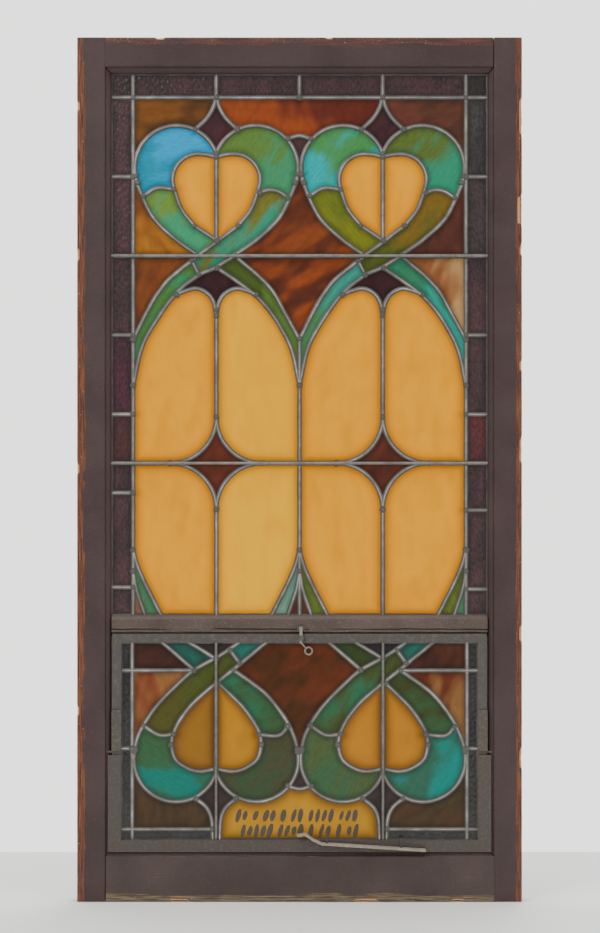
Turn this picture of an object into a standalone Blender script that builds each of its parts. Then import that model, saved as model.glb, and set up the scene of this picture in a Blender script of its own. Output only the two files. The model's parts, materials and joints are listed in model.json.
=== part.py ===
"""Stained glass window: a painted wood sash with a fixed leaded light above and a
pivoting steel vent below, both glazed with the same pattern of hearts and ribbons.

Sizes are millimetres: x across the window, y from the room side (minus) to the
outside (plus), z up from the bottom edge. The meshes themselves are in metres.
"""
import math

import bmesh
import bpy
import numpy as np
from mathutils import Vector, geometry

for old in list(bpy.data.objects):
    bpy.data.objects.remove(old, do_unlink=True)

MM = 0.001
GAP = 0.3

# Wood sash
SASH_WIDTH = 930.0
SASH_HEIGHT = 1806.0
SASH_DEPTH = 45.0
STILE_FACE = 59.0
TOP_RAIL_FACE = 62.5
BOTTOM_RAIL_FACE = 95.0
MOULDING_WIDTH = 12.0
MOULDING_FALL = 14.5
REBATE_WIDTH = 10.0
VENT_OPENING_HEIGHT = 454.8
TRANSOM_HEIGHT = 35.7
TRANSOM_SETBACK = 5.5
TRANSOM_SLOPE_HEIGHT = 7.0

# Leaded glass
CAME_WIDTH = 9.5
CAME_DEPTH = 6.0
CAME_LEAF = 1.2
GLASS_THICKNESS = 3.0
EDGE_LEAD_SIGHT = 3.0
CURVE_STEP = 30.0

# Saddle bars
BAR_DIAMETER = 6.0
BAR_SINKING = 8.0
UPPER_BAR_SHARES = (318.5 / 1134.0, 753.2 / 1134.0)

# Steel vent
VENT_CLEARANCE = 2.5
VENT_FACE = 18.5
VENT_LEAF = 4.0
VENT_WEB = 6.0
VENT_FRONT = -17.0
VENT_BAR_DEPTH = 16.0
STOP_THICKNESS = 3.0
STOP_OVERLAP = 9.5
LINER_THICKNESS = 4.0
PIVOT_HEIGHT = 312.0
PIVOT_SETBACK = 2.0
PIVOT_PIN_DIAMETER = 5.0
PIVOT_PIN_LENGTH = 11.0
PIVOT_STOP_CLEARANCE = 12.0
SLEEVE_LENGTH = 88.0
SLEEVE_THICKNESS = 3.2
FLANGE_OUTREACH = 7.0
FLANGE_DROP = 4.0
FLANGE_PIVOT_GAP = 6.0
SLEEVE_PIVOT_GAP = 2.0

# Spring catch on the vent's top bar
CATCH_PLATE_WIDTH = 48.0
CATCH_PLATE_THICKNESS = 2.0
CATCH_PLATE_LEFT = -38.5
BOLT_WIDTH = 6.5
BOLT_THICKNESS = 3.0
BOLT_CENTRE_X = 3.0
BOLT_RISE = 15.0
BOLT_TAIL = 21.0
BOLT_CLEARANCE = 0.4
GUIDE_WALL = 2.0
GUIDE_HEIGHT = 9.0
CATCH_PLATE_MARGIN = 1.0
RING_RADIUS = 7.5
RING_WIRE = 4.0
RING_CENTRE = (19.0, -36.0)
STEM_THICKNESS = 3.6
KEEPER_SIZE = (16.0, 12.0)
KEEPER_THICKNESS = 1.5
KEEPER_LIFT = 2.0

# Stay bar and its pegs
STAY_WIDTH = 16.0
STAY_THICKNESS = 4.5
STAY_HOLE_DIAMETER = 7.0
STAY_PEG_DIAMETER = 4.4
STAY_PEG_XS = (57.0, 212.0)
STAY_SPARE_HOLE_X = 243.0
STAY_END_X = 263.0
STAY_SLOPE = math.tan(math.radians(3.6))
STAY_END_HEIGHT = 108.5
STAY_STANDOFF = 9.0
STAY_PEG_RISE = 22.0
STAY_CURL = ((27.0, 9.0), (12.0, 20.0), (-5.0, 17.0))
STAY_CURL_START = 46.0

# Places that follow from the sizes above
HALF_WIDTH = SASH_WIDTH / 2
FACE_X = HALF_WIDTH - STILE_FACE
SIGHT_X = FACE_X - MOULDING_WIDTH
REBATE_X = SIGHT_X + REBATE_WIDTH
FRONT = -SASH_DEPTH / 2
BACK = SASH_DEPTH / 2
MOULDING_Y = FRONT + MOULDING_FALL
REBATE_Y = -CAME_DEPTH / 2 - GAP
BOTTOM_SIGHT = BOTTOM_RAIL_FACE + MOULDING_WIDTH
TRANSOM_BOTTOM = BOTTOM_SIGHT + VENT_OPENING_HEIGHT
TRANSOM_TOP = TRANSOM_BOTTOM + TRANSOM_HEIGHT
TOP_SIGHT = SASH_HEIGHT - TOP_RAIL_FACE - MOULDING_WIDTH

VENT_X = SIGHT_X - VENT_CLEARANCE
VENT_BOTTOM = BOTTOM_SIGHT + VENT_CLEARANCE
VENT_TOP = TRANSOM_BOTTOM - VENT_CLEARANCE
VENT_BACK = VENT_FRONT + VENT_BAR_DEPTH
VENT_SIGHT_X = VENT_X - VENT_FACE
VENT_SIGHT_BOTTOM = VENT_BOTTOM + VENT_FACE
VENT_SIGHT_TOP = VENT_TOP - VENT_FACE
VENT_GLASS_Y = VENT_FRONT + VENT_LEAF + GAP + CAME_DEPTH / 2
PIVOT_Y = VENT_FRONT + PIVOT_SETBACK


def finish(name, bm, colour, roughness, metallic=0.0, smooth_angle=None):
    """Turns a bmesh in millimetres into a named object with its own material."""
    bmesh.ops.scale(bm, vec=(MM, MM, MM), verts=bm.verts)
    mesh = bpy.data.meshes.new(name)
    bm.to_mesh(mesh)
    bm.free()
    if smooth_angle:
        mesh.shade_smooth()
        mesh.set_sharp_from_angle(angle=smooth_angle)
    material = bpy.data.materials.new(name)
    material.use_nodes = True
    shader = material.node_tree.nodes["Principled BSDF"]
    shader.inputs["Base Color"].default_value = (*colour, 1.0)
    shader.inputs["Roughness"].default_value = roughness
    shader.inputs["Metallic"].default_value = metallic
    mesh.materials.append(material)
    thing = bpy.data.objects.new(name, mesh)
    bpy.context.scene.collection.objects.link(thing)
    return thing


def prism(bm, outline, axis, start, stop):
    """Adds the closed outline carried along one axis from start to stop.

    The outline's two numbers are (y, z) for axis x, (x, z) for y and (x, y) for z.
    """
    place = {
        "x": lambda a, b, t: (t, a, b),
        "y": lambda a, b, t: (a, t, b),
        "z": lambda a, b, t: (a, b, t),
    }[axis]
    first = [bm.verts.new(place(a, b, start)) for a, b in outline]
    last = [bm.verts.new(place(a, b, stop)) for a, b in outline]
    faces = [bm.faces.new(first), bm.faces.new(last)]
    for i in range(len(outline)):
        j = (i + 1) % len(outline)
        faces.append(bm.faces.new((first[i], first[j], last[j], last[i])))
    bmesh.ops.recalc_face_normals(bm, faces=faces)


def circle(centre, radius, sides=12):
    """The corners of a regular polygon about centre."""
    turns = [2 * math.pi * (i + 0.5) / sides for i in range(sides)]
    return [(centre[0] + radius * math.cos(t), centre[1] + radius * math.sin(t)) for t in turns]


def shape(name, outline, axis, start, stop, colour, roughness, metallic=0.0):
    """A whole object made of one prism."""
    bm = bmesh.new()
    prism(bm, outline, axis, start, stop)
    return finish(name, bm, colour, roughness, metallic)


def cut(target, outline, axis, start, stop):
    """Cuts a prism out of an object with a hidden cutter."""
    combine(target, outline, axis, start, stop, "DIFFERENCE")


def join(target, outline, axis, start, stop):
    """Welds a prism onto an object with a hidden guide."""
    combine(target, outline, axis, start, stop, "UNION")


def combine(target, outline, axis, start, stop, operation):
    """One Boolean of a prism with an object."""
    tool = shape("guide_" + target.name, outline, axis, start, stop, (1, 1, 1), 0.5)
    tool.hide_render = True
    tool.display_type = "WIRE"
    modifier = target.modifiers.new(operation.lower(), "BOOLEAN")
    modifier.object = tool
    modifier.operation = operation
    modifier.solver = "EXACT"


def arc(centre, radius, start, stop):
    """Points on a round stretch, angles in degrees from +x turning towards +z."""
    length = abs(math.radians(stop - start)) * radius
    count = max(2, math.ceil(length / CURVE_STEP) + 1)
    angles = np.radians(np.linspace(start, stop, count))
    return [(centre[0] + radius * math.cos(a), centre[1] + radius * math.sin(a)) for a in angles]


def bend(points):
    """A Catmull-Rom curve through the points, in steps of about CURVE_STEP."""
    points = [np.array(p, float) for p in points]
    ghosts = [2 * points[0] - points[1], *points, 2 * points[-1] - points[-2]]
    curve = []
    for a, b, c, d in zip(ghosts, ghosts[1:], ghosts[2:], ghosts[3:]):
        count = max(1, round(float(np.linalg.norm(c - b)) / CURVE_STEP))
        for t in np.arange(count) / count:
            curve.append(0.5 * (2 * b + (c - a) * t + (2 * a - 5 * b + 4 * c - d) * t**2
                                + (3 * b - a - 3 * c + d) * t**3))
    curve.append(points[-1])
    return [tuple(p) for p in curve]


def mirrored(path):
    """The same path on the other side of x = 0."""
    return [(-x, z) for x, z in path]


def moved(path, dx):
    """The same path, moved sideways."""
    return [(x + dx, z) for x, z in path]


# Wood sash: two full-height stiles, rails and a transom between them. The inner
# edges carry a moulding on the room side, mitred at the corners, and a rebate
# for the glass on the outside.
PAINT = (0.085, 0.066, 0.061)
DUSTY_PAINT = (0.15, 0.12, 0.11)


def moulded_section(face_width):
    """(distance from the outer edge, y) round one stile or rail."""
    sight = face_width + MOULDING_WIDTH
    return [
        (0, FRONT), (face_width, FRONT),
        (face_width + 1.5, FRONT + 3.5), (face_width + 4.5, FRONT + 6.0),
        (face_width + 9.0, FRONT + 9.0), (sight, MOULDING_Y),
        (sight, REBATE_Y), (sight - REBATE_WIDTH, REBATE_Y),
        (sight - REBATE_WIDTH, BACK), (0, BACK),
    ]


def corner_region(side, z_face, away):
    """The rail's share of a corner in (x, z), on the far side of the mitre."""
    reach = MOULDING_WIDTH + 5
    end = z_face + away * 400
    return [
        (side * FACE_X, end), (side * FACE_X, z_face),
        (side * (FACE_X - reach), z_face - away * reach), (side * (FACE_X - reach), end),
    ]


def mitre_waste(side, z_face, away):
    """What the mitre takes off a rail's moulding in (x, z)."""
    slack = GAP * math.sqrt(2)
    reach = MOULDING_WIDTH + 5
    return [
        (side * (FACE_X + 5), z_face + away * (5 + slack)),
        (side * (FACE_X - reach), z_face - away * (reach - slack)),
        (side * (FACE_X + 5), z_face - away * (reach - slack)),
    ]


TOP_FACE_Z = SASH_HEIGHT - TOP_RAIL_FACE
BAR_Y = -CAME_DEPTH / 2 - GAP - BAR_DIAMETER / 2
UPPER_BAR_ZS = [TRANSOM_TOP + share * (TOP_SIGHT - TRANSOM_TOP) for share in UPPER_BAR_SHARES]

for side, name in ((-1, "left_stile"), (1, "right_stile")):
    section = [(side * (HALF_WIDTH - across), y) for across, y in moulded_section(STILE_FACE)]
    stile = shape(name, section, "z", 0, SASH_HEIGHT, PAINT, 0.55)
    cut(stile, corner_region(side, TOP_FACE_Z, 1), "y", FRONT - 5, BACK + 5)
    cut(stile, corner_region(side, BOTTOM_RAIL_FACE, -1), "y", FRONT - 5, BACK + 5)
    for bar_z in UPPER_BAR_ZS:
        hole = circle((BAR_Y, bar_z), BAR_DIAMETER / 2 + GAP)
        cut(stile, hole, "x", side * (SIGHT_X - 5), side * (SIGHT_X + BAR_SINKING + GAP))
    pin_hole = circle((PIVOT_Y, PIVOT_HEIGHT), PIVOT_PIN_DIAMETER / 2 + GAP)
    cut(stile, pin_hole, "x", side * (SIGHT_X - 2), side * (VENT_X + PIVOT_PIN_LENGTH + GAP))

for name, face, z_face, away in (
    ("top_rail", TOP_RAIL_FACE, TOP_FACE_Z, 1),
    ("bottom_rail", BOTTOM_RAIL_FACE, BOTTOM_RAIL_FACE, -1),
):
    section = [(y, z_face + away * (face - across)) for across, y in moulded_section(face)]
    rail = shape(name, section, "x", -FACE_X + GAP, FACE_X - GAP, PAINT, 0.55)
    for side in (-1, 1):
        cut(rail, mitre_waste(side, z_face, away), "y", FRONT - 5, BACK + 5)

TRANSOM_FRONT = FRONT + TRANSOM_SETBACK
transom_section = [
    (TRANSOM_FRONT, TRANSOM_BOTTOM), (TRANSOM_FRONT, TRANSOM_TOP - TRANSOM_SLOPE_HEIGHT),
    (MOULDING_Y, TRANSOM_TOP), (REBATE_Y, TRANSOM_TOP), (REBATE_Y, TRANSOM_TOP - REBATE_WIDTH),
    (BACK, TRANSOM_TOP - REBATE_WIDTH), (BACK, TRANSOM_BOTTOM + REBATE_WIDTH),
    (REBATE_Y, TRANSOM_BOTTOM + REBATE_WIDTH), (REBATE_Y, TRANSOM_BOTTOM),
]
transom = shape("transom", transom_section, "x", -REBATE_X + GAP, REBATE_X - GAP, DUSTY_PAINT, 0.7)
for side in (-1, 1):
    shoulder = [
        (side * (SIGHT_X - GAP), FRONT - 5), (side * (REBATE_X + 5), FRONT - 5),
        (side * (REBATE_X + 5), REBATE_Y + GAP), (side * (SIGHT_X - GAP), REBATE_Y + GAP),
    ]
    cut(transom, shoulder, "z", TRANSOM_BOTTOM - 5, TRANSOM_TOP + 5)


# Lead lines. Each path is the middle of one came on the glazier's drawing, in
# millimetres from the middle of the panel's lower sight edge. The drawing is
# stretched to the panel. Glass runs on behind the paths marked as laid over.
HEARTS = (-174.6, 174.6)
MODULE = HEARTS[1]


def heart_lobe(z, up):
    """Half of a heart's round end, from its notch to its widest point."""
    if up:
        return arc((83.0, z), 88.2, 160.5, -21.0)
    return arc((84.0, z), 88.2, 196.0, 374.0)


def upper_heart():
    """The came paths of one upper heart and its ribbons, about its own middle."""
    side = [(169.5, 921.0), (166.0, 904.0), (134.0, 836.0), (88.0, 790.0), (46.0, 760.0)]
    inner_half = [(0.0, 961.0), (37.8, 967.0)] + arc((37.8, 913.5), 54.0, 75.0, -15.0)
    inner_half = bend(inner_half[:2]) + inner_half[2:] + [(73.5, 852.6), (46.2, 816.9)]
    over_low = bend(side + [(-2.0, 729.0), (-37.0, 713.0), (-86.0, 673.0), (-134.0, 605.0),
                            (-158.0, 556.0), (-MODULE, 482.0)])
    over_high = bend([(46.2, 816.9), (4.0, 785.0), (-34.0, 757.0), (-50.5, 744.0), (-83.0, 718.0),
                      (-107.0, 696.0), (-137.0, 652.0), (-MODULE, 577.5)])
    under_outer = bend([*mirrored(side), (-38.0, 754.0)])
    under_inner = bend([(-46.2, 816.9), (2.0, 785.0)])
    tail_high = bend([(40.0, 754.0), (49.6, 744.5), (87.8, 712.0), (117.6, 680.0), (140.0, 641.0),
                      (MODULE, 577.5)])
    tail_low = bend([(2.0, 728.0), (49.6, 695.7), (86.0, 667.0), (112.0, 638.0), (134.0, 605.0),
                     (158.0, 556.0), (MODULE, 482.0)])
    arch = bend([(0.0, 628.0), (6.0, 657.0), (20.0, 676.0), (44.0, 685.0), (76.0, 676.0)])
    corner = arc((97.0, 415.5), 97.0, 180.0, 270.0)
    lower_corner = arc((97.0, 221.5), 97.0, 180.0, 90.0)
    lower_curve = bend([(MODULE, 136.5), (166.0, 105.0), (149.0, 65.0), (114.5, -3.0)])
    lower_tail = bend([(MODULE, 92.0), (168.0, 55.0), (149.0, -3.0)])
    concave = bend([(1.0, 1085.7), (6.0, 1066.0), (20.0, 1042.0), (44.0, 1019.0)])
    solid = [heart_lobe(938.7, True), over_low, over_high, under_outer, under_inner, tail_high,
             tail_low[1:], arch, mirrored(arch), corner, mirrored(corner), lower_corner,
             mirrored(lower_corner), lower_curve, mirrored(lower_curve),
             mirrored(heart_lobe(938.7, True)), inner_half, mirrored(inner_half),
             [(0.0, 640.0), (0.0, 412.0)], [(0.0, 224.0), (0.0, -3.0)],
             [(0.0, 974.0), (0.0, 955.0)],
             [(97.0, 318.5), (MODULE, 318.5)], [(-97.0, 318.5), (-MODULE, 318.5)]]
    laid_over = [[(0.0, 962.0), (0.0, 786.0)], tail_low[:3], lower_tail, mirrored(lower_tail), concave,
                 mirrored(concave), [(-51.5, 744.0), (-36.8, 714.0)],
                 bend([(91.0, 886.0), (109.0, 892.0), (130.0, 889.0), (151.0, 875.0)]),
                 bend([(-89.0, 893.0), (-124.0, 896.0), (-153.0, 879.0)])]
    return solid, laid_over


def upper_panel():
    """All came paths of the fixed light."""
    solid = [[(-MODULE * 2, -3.0), (-MODULE * 2, 1085.7)], [(MODULE * 2, -3.0), (MODULE * 2, 1085.7)],
             [(-MODULE * 2, 1085.7), (MODULE * 2, 1085.7)], [(0.0, 580.0), (0.0, 130.0)]]
    laid_over = [[(side * MODULE * 2, 1085.7), (side * MODULE * 2, 1137.0)] for side in (-1, 1)]
    laid_over += [[(x, 1085.7), (x, 1137.0)] for x in (-MODULE, 0.0, MODULE)]
    laid_over += [[(0.0, 130.0), (0.0, -3.0)]]
    dividers = {-1: (919.3, 753.2, 587.1, 421.0, 318.5, 256.2, 58.1),
                1: (919.3, 753.2, 587.1, 421.0, 318.5, 220.0, 54.1)}
    for side, heights in dividers.items():
        laid_over += [[(side * 397.0, z), (side * MODULE * 2, z)] for z in (1085.7, *heights)]
        laid_over.append([(side * MODULE * 2, 753.2), (side * (MODULE + 42.0), 753.2)])
    laid_over += [[(-MODULE + 42.0, 753.2), (MODULE - 42.0, 753.2)]]
    laid_over += [bend([(-24.0, 999.0), (0.0, 1006.0), (24.0, 999.0)])]
    for middle in HEARTS:
        heart_solid, heart_over = upper_heart()
        solid += [moved(path, middle) for path in heart_solid]
        laid_over += [moved(path, middle) for path in heart_over]
    return solid, laid_over


def vent_heart():
    """The came paths of one hanging heart in the vent, about its own middle."""
    over_high = bend([(52.0, 414.5), (8.0, 384.0), (-46.0, 354.0), (-82.0, 323.0), (-113.0, 292.0),
                      (-139.0, 260.0), (-163.0, 218.0), (-171.5, 183.0)])
    over_low = bend([(108.0, 414.5), (47.0, 364.0), (7.0, 332.0), (-43.0, 290.0), (-72.5, 255.0),
                     (-89.5, 222.0), (-94.5, 198.0)])
    under_outer = bend([(-116.0, 414.5), (-46.0, 354.0)])
    under_inner = bend([(-61.0, 414.5), (0.0, 377.0)])
    outer_right = bend([(36.0, 354.0), (98.0, 309.0), (131.5, 271.0), (152.0, 239.0), (165.0, 209.0),
                        (171.5, 183.0)])
    inner_right = bend([(5.0, 326.0), (47.0, 286.0), (71.4, 256.0), (90.0, 224.0), (94.5, 198.0)])
    inner_low = bend([(94.5, 198.0), (86.0, 168.0), (61.0, 149.0), (33.6, 142.0), (0.0, 148.0)])
    solid = [over_high, over_low, under_outer, outer_right, inner_right, inner_low,
             mirrored(inner_low), heart_lobe(167.0, False), mirrored(heart_lobe(167.0, False)),
             [(0.0, 152.0), (0.0, 136.0)]]
    laid_over = [[(0.0, 328.0), (0.0, 146.0)], under_inner, [(30.0, 394.0), (49.0, 368.0)],
                 bend([(-152.0, 238.0), (-120.0, 218.0), (-90.0, 220.0)]),
                 bend([(150.0, 236.0), (131.5, 217.0), (90.0, 219.0)])]
    return solid, laid_over


def vent_panel():
    """All came paths of the vent's light."""
    solid, laid_over = [], []
    for side, border in ((-1, -350.5), (1, 350.5)):
        solid.append([(border, 414.5), (border, 190.0)])
        laid_over.append([(border, 190.0), (border, -3.0)])
        reach = (MODULE + 46.0, MODULE + 52.0)[side > 0]
        laid_over.append([(side * 376.0, 353.0), (side * reach, 353.0)])
        laid_over.append([(side * 376.0, 190.0), (border, 190.0)])
        laid_over.append([(side * 376.0, 21.5), (side * (MODULE + 8.0), 21.5)])
    laid_over.append(bend([(-25.0, 112.0), (0.0, 105.0), (25.0, 112.0)]))
    concave = bend([(42.0, 85.0), (20.6, 67.5), (9.5, 42.0), (7.0, -3.0)])
    solid += [moved(concave, HEARTS[0]), moved(mirrored(concave), HEARTS[1])]
    laid_over += [moved(mirrored(concave), HEARTS[0]), moved(concave, HEARTS[1])]
    for middle in HEARTS:
        heart_solid, heart_over = vent_heart()
        solid += [moved(path, middle) for path in heart_solid]
        laid_over += [moved(path, middle) for path in heart_over]
    return solid, laid_over


def ribbon(path, width):
    """The closed outline of a strip of the given width along a path."""
    points = np.array(path, float)
    along = np.gradient(points, axis=0) if len(points) > 2 else np.repeat(
        [points[-1] - points[0]], len(points), axis=0)
    along /= np.linalg.norm(along, axis=1)[:, None]
    across = np.stack([-along[:, 1], along[:, 0]], axis=1) * width / 2
    return np.vstack([points + across, (points - across)[::-1]])


def frame_strips(low, high, inner):
    """Four overlapping bars from a rectangle's edge in to the given distance."""
    (x0, z0), (x1, z1) = low, high
    bars = [(x0, z0, x1, z0 + inner), (x0, z1 - inner, x1, z1),
            (x0, z0, x0 + inner, z1), (x1 - inner, z0, x1, z1)]
    return [np.array([(a, b), (c, b), (c, d), (a, d)]) for a, b, c, d in bars]


def inside(points, outline):
    """Which points lie inside a closed outline, by counting crossings."""
    x, z = points[:, 0:1], points[:, 1:2]
    ax, az = outline[:, 0], outline[:, 1]
    bx, bz = np.roll(ax, -1), np.roll(az, -1)
    rise = np.where(bz == az, 1e-12, bz - az)
    crossing = ((az > z) != (bz > z)) & (x < (bx - ax) * (z - az) / rise + ax)
    return crossing.sum(axis=1) % 2 == 1


def covered(points, outlines):
    """Which points lie inside any of the outlines."""
    mask = np.zeros(len(points), bool)
    for outline in outlines:
        mask |= inside(points, outline)
    return mask


def triangulate(points, edges):
    """A constrained triangulation, turned anticlockwise in (x, z)."""
    vertices, _, faces, _, _, _ = geometry.delaunay_2d_cdt(
        [Vector(p) for p in points], edges, [], 0, 0.01)
    vertices = np.array([tuple(v) for v in vertices])
    faces = np.array([face for face in faces if len(face) == 3])
    a, b, c = (vertices[faces[:, i]] for i in range(3))
    turn = (b[:, 0] - a[:, 0]) * (c[:, 1] - a[:, 1]) - (b[:, 1] - a[:, 1]) * (c[:, 0] - a[:, 0])
    faces[turn < 0] = faces[turn < 0][:, ::-1]
    return vertices, faces[np.abs(turn) > 1e-6]


def side_pairs(faces):
    """Each side of each triangle, mapped to the triangle that owns it."""
    return {(int(f[i]), int(f[(i + 1) % 3])): k for k, f in enumerate(faces) for i in range(3)}


def cells(groups):
    """Divides the plane by several lists of outlines.

    Returns corners, triangles and one mask for each list: which triangles it covers.
    """
    outlines = [outline for group in groups for outline in group]
    points, edges = [], []
    for outline in outlines:
        start = len(points)
        points += [tuple(p) for p in outline]
        edges += [(start + i, start + (i + 1) % len(outline)) for i in range(len(outline))]
    vertices, faces = triangulate(points, edges)
    masks = [covered(vertices[faces].mean(axis=1), group) for group in groups]
    owner = side_pairs(faces)
    kept = []
    for (a, b), k in owner.items():
        other = owner.get((b, a))
        if other is None or any(mask[k] != mask[other] for mask in masks):
            kept.append((min(a, b), max(a, b)))
    kept = sorted(set(kept))
    used = sorted({i for edge in kept for i in edge})
    place = {old: new for new, old in enumerate(used)}
    vertices, faces = triangulate(
        [tuple(vertices[i]) for i in used], [(place[a], place[b]) for a, b in kept])
    return vertices, faces, [covered(vertices[faces].mean(axis=1), group) for group in groups]


def stacked(vertices, faces, levels, filled):
    """A solid in slabs: slab k holds the triangles filled[k], from level k to k + 1."""
    owner = side_pairs(faces)
    count = len(vertices)
    polygons = []
    empty = np.zeros(len(faces), bool)
    for k, mask in enumerate(filled):
        below = filled[k - 1] if k else empty
        above = filled[k + 1] if k + 1 < len(filled) else empty
        near, far = k * count, (k + 1) * count
        for index in np.nonzero(mask)[0]:
            a, b, c = (int(i) for i in faces[index])
            if not below[index]:
                polygons.append((near + a, near + b, near + c))
            if not above[index]:
                polygons.append((far + c, far + b, far + a))
            for p, q in ((a, b), (b, c), (c, a)):
                other = owner.get((q, p))
                if other is None or not mask[other]:
                    polygons.append((near + p, far + p, far + q, near + q))
    bm = bmesh.new()
    grid = [[bm.verts.new((x, y, z)) for x, z in vertices] for y in levels]
    corner = [vertex for row in grid for vertex in row]
    for polygon in polygons:
        bm.faces.new([corner[i] for i in polygon])
    bmesh.ops.delete(bm, geom=[v for v in bm.verts if not v.link_faces], context="VERTS")
    return bm


def connected(faces, mask):
    """The masked triangles as lists that hang together side by side."""
    owner = side_pairs(faces)
    waiting = set(int(i) for i in np.nonzero(mask)[0])
    parts = []
    while waiting:
        stack = [waiting.pop()]
        part = []
        while stack:
            index = stack.pop()
            part.append(index)
            a, b, c = (int(i) for i in faces[index])
            for side in ((b, a), (c, b), (a, c)):
                other = owner.get(side)
                if other in waiting:
                    waiting.remove(other)
                    stack.append(other)
        parts.append(part)
    return parts


LEAD = (0.26, 0.25, 0.235)
STRAY_AREA = 60.0


class Panel:
    """One leaded light: its lead lines stretched to its size, and where it stands."""

    def __init__(self, paths, drawn, low, high, edge_cover, middle_y):
        self.solid, self.laid_over = paths
        self.drawn, self.low, self.high = drawn, low, high
        self.edge_cover, self.middle_y = edge_cover, middle_y

    def real(self, point):
        """A point of the drawing in the window's own (x, z)."""
        across = (self.high[0] - self.low[0]) / self.drawn[0]
        up = (self.high[1] - self.low[1]) / self.drawn[1]
        return point[0] * across, self.low[1] + point[1] * up

    def strips(self, paths, width):
        """Came outlines of the given width."""
        return [ribbon([self.real(p) for p in path], width) for path in paths]

    def edge(self, extra):
        """The came round the panel's rim, in four bars."""
        low = [value - self.edge_cover for value in self.low]
        high = [value + self.edge_cover for value in self.high]
        return frame_strips(low, high, self.edge_cover + EDGE_LEAD_SIGHT + extra)

    def make_leads(self, name):
        """The whole net of cames, with slots where glass runs on behind."""
        walls = self.strips(self.solid, CAME_WIDTH) + self.edge(0)
        leaves = walls + self.strips(self.laid_over, CAME_WIDTH)
        vertices, faces, (wall, leaf) = cells([walls, leaves])
        middle, half = self.middle_y, CAME_DEPTH / 2
        inner = half - CAME_LEAF
        levels = [middle - half, middle - inner, middle + inner, middle + half]
        return finish(name, stacked(vertices, faces, levels, [leaf, wall, leaf]), LEAD, 0.55, 0.7)

    def make_glass(self, panes):
        """One plate of glass for each named pane or group of panes."""
        walls = self.strips(self.solid, CAME_WIDTH + 2 * GAP) + self.edge(GAP)
        vertices, faces, (wall,) = cells([walls])
        levels = [self.middle_y - GLASS_THICKNESS / 2, self.middle_y + GLASS_THICKNESS / 2]
        a, b, c = (vertices[faces[:, i]] for i in range(3))
        areas = np.abs((b[:, 0] - a[:, 0]) * (c[:, 1] - a[:, 1])
                       - (b[:, 1] - a[:, 1]) * (c[:, 0] - a[:, 0])) / 2
        parts = [part for part in connected(faces, ~wall) if areas[part].sum() > STRAY_AREA]
        for name, seed, colour in panes:
            x, z = self.real(seed)
            for part in parts:
                chosen = np.zeros(len(faces), bool)
                chosen[part] = True
                seed_point = np.array([[x, z]])
                if any(inside(seed_point, vertices[faces[i]])[0] for i in part):
                    plate = stacked(vertices, faces, levels, [chosen])
                    glass = finish(name, plate, colour, 0.12)
                    parts.remove(part)
                    break
            else:
                print("NO PANE AT", name, seed)
        for part in parts:
            centre = vertices[faces[part]].mean(axis=(0, 1))
            print("UNNAMED PANE", [round(float(v), 1) for v in centre], round(float(areas[part].sum())))


AMBER = (0.72, 0.35, 0.02)
GREEN = (0.10, 0.33, 0.16)
TEAL = (0.03, 0.32, 0.30)
BLUE = (0.01, 0.37, 0.55)
OLIVE = (0.14, 0.16, 0.03)
RUST = (0.28, 0.09, 0.02)
BROWN = (0.12, 0.05, 0.02)
PURPLE = (0.05, 0.022, 0.032)
SMOKE = (0.02, 0.022, 0.026)

upper = Panel(upper_panel(), (788.0, 1134.0), (-SIGHT_X, TRANSOM_TOP), (SIGHT_X, TOP_SIGHT),
              REBATE_WIDTH - 2 * GAP, 0.0)
vent = Panel(vent_panel(), (746.0, 411.5), (-VENT_SIGHT_X, VENT_SIGHT_BOTTOM),
             (VENT_SIGHT_X, VENT_SIGHT_TOP), VENT_FACE - VENT_WEB - 2 * GAP, VENT_GLASS_Y)

upper_panes = [
    ("upper_border_glass", (-372.0, 650.0), PURPLE),
    ("upper_ground_glass", (-300.0, 1040.0), RUST),
    ("centre_ground_glass", (0.0, 700.0), RUST),
    ("left_ground_glass", (-330.0, 780.0), RUST),
    ("right_ground_glass", (330.0, 780.0), BROWN),
    ("lower_left_leaf_glass", (-320.6, 30.0), GREEN),
    ("lower_centre_leaf_glass", (-28.6, 30.0), GREEN),
    ("lower_right_leaf_glass", (320.6, 30.0), GREEN),
]
vent_panes = [
    ("vent_left_border_glass", (-362.0, 100.0), SMOKE),
    ("vent_right_border_glass", (362.0, 100.0), SMOKE),
    ("vent_left_ground_glass", (-300.0, 300.0), RUST),
    ("vent_right_ground_glass", (300.0, 300.0), BROWN),
    ("vent_centre_ground_glass", (0.0, 300.0), BROWN),
    ("inscription_glass", (0.0, 50.0), AMBER),
]
for hand, middle, lobe in (("left", HEARTS[0], BLUE), ("right", HEARTS[1], TEAL)):
    upper_panes += [
        (hand + "_heart_glass", (middle + 30.0, 900.0), AMBER),
        (hand + "_lobe_glass", (middle - 132.0, 930.0), lobe),
        (hand + "_over_ribbon_glass", (middle + 132.0, 930.0), GREEN),
        (hand + "_under_ribbon_glass", (middle + 95.0, 682.0), TEAL),
        (hand + "_diamond_glass", (middle, 318.0), PURPLE),
    ]
    for half, dx in (("left", -85.0), ("right", 85.0)):
        upper_panes += [
            (f"{hand}_upper_{half}_amber_glass", (middle + dx, 520.0), AMBER),
            (f"{hand}_lower_{half}_amber_glass", (middle + dx, 150.0), AMBER),
        ]
    vent_panes += [
        (f"vent_{hand}_heart_glass", (middle + 30.0, 200.0), AMBER),
        (f"vent_{hand}_over_ribbon_glass", (middle - 132.0, 170.0), GREEN),
        (f"vent_{hand}_lobe_glass", (middle + 132.0, 170.0), TEAL),
        (f"vent_{hand}_under_ribbon_glass", (middle - 57.0, 392.0), TEAL),
    ]

for light, name, panes in ((upper, "upper", upper_panes), (vent, "vent", vent_panes)):
    light.make_leads(name + "_leads")
    light.make_glass(panes)

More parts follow.
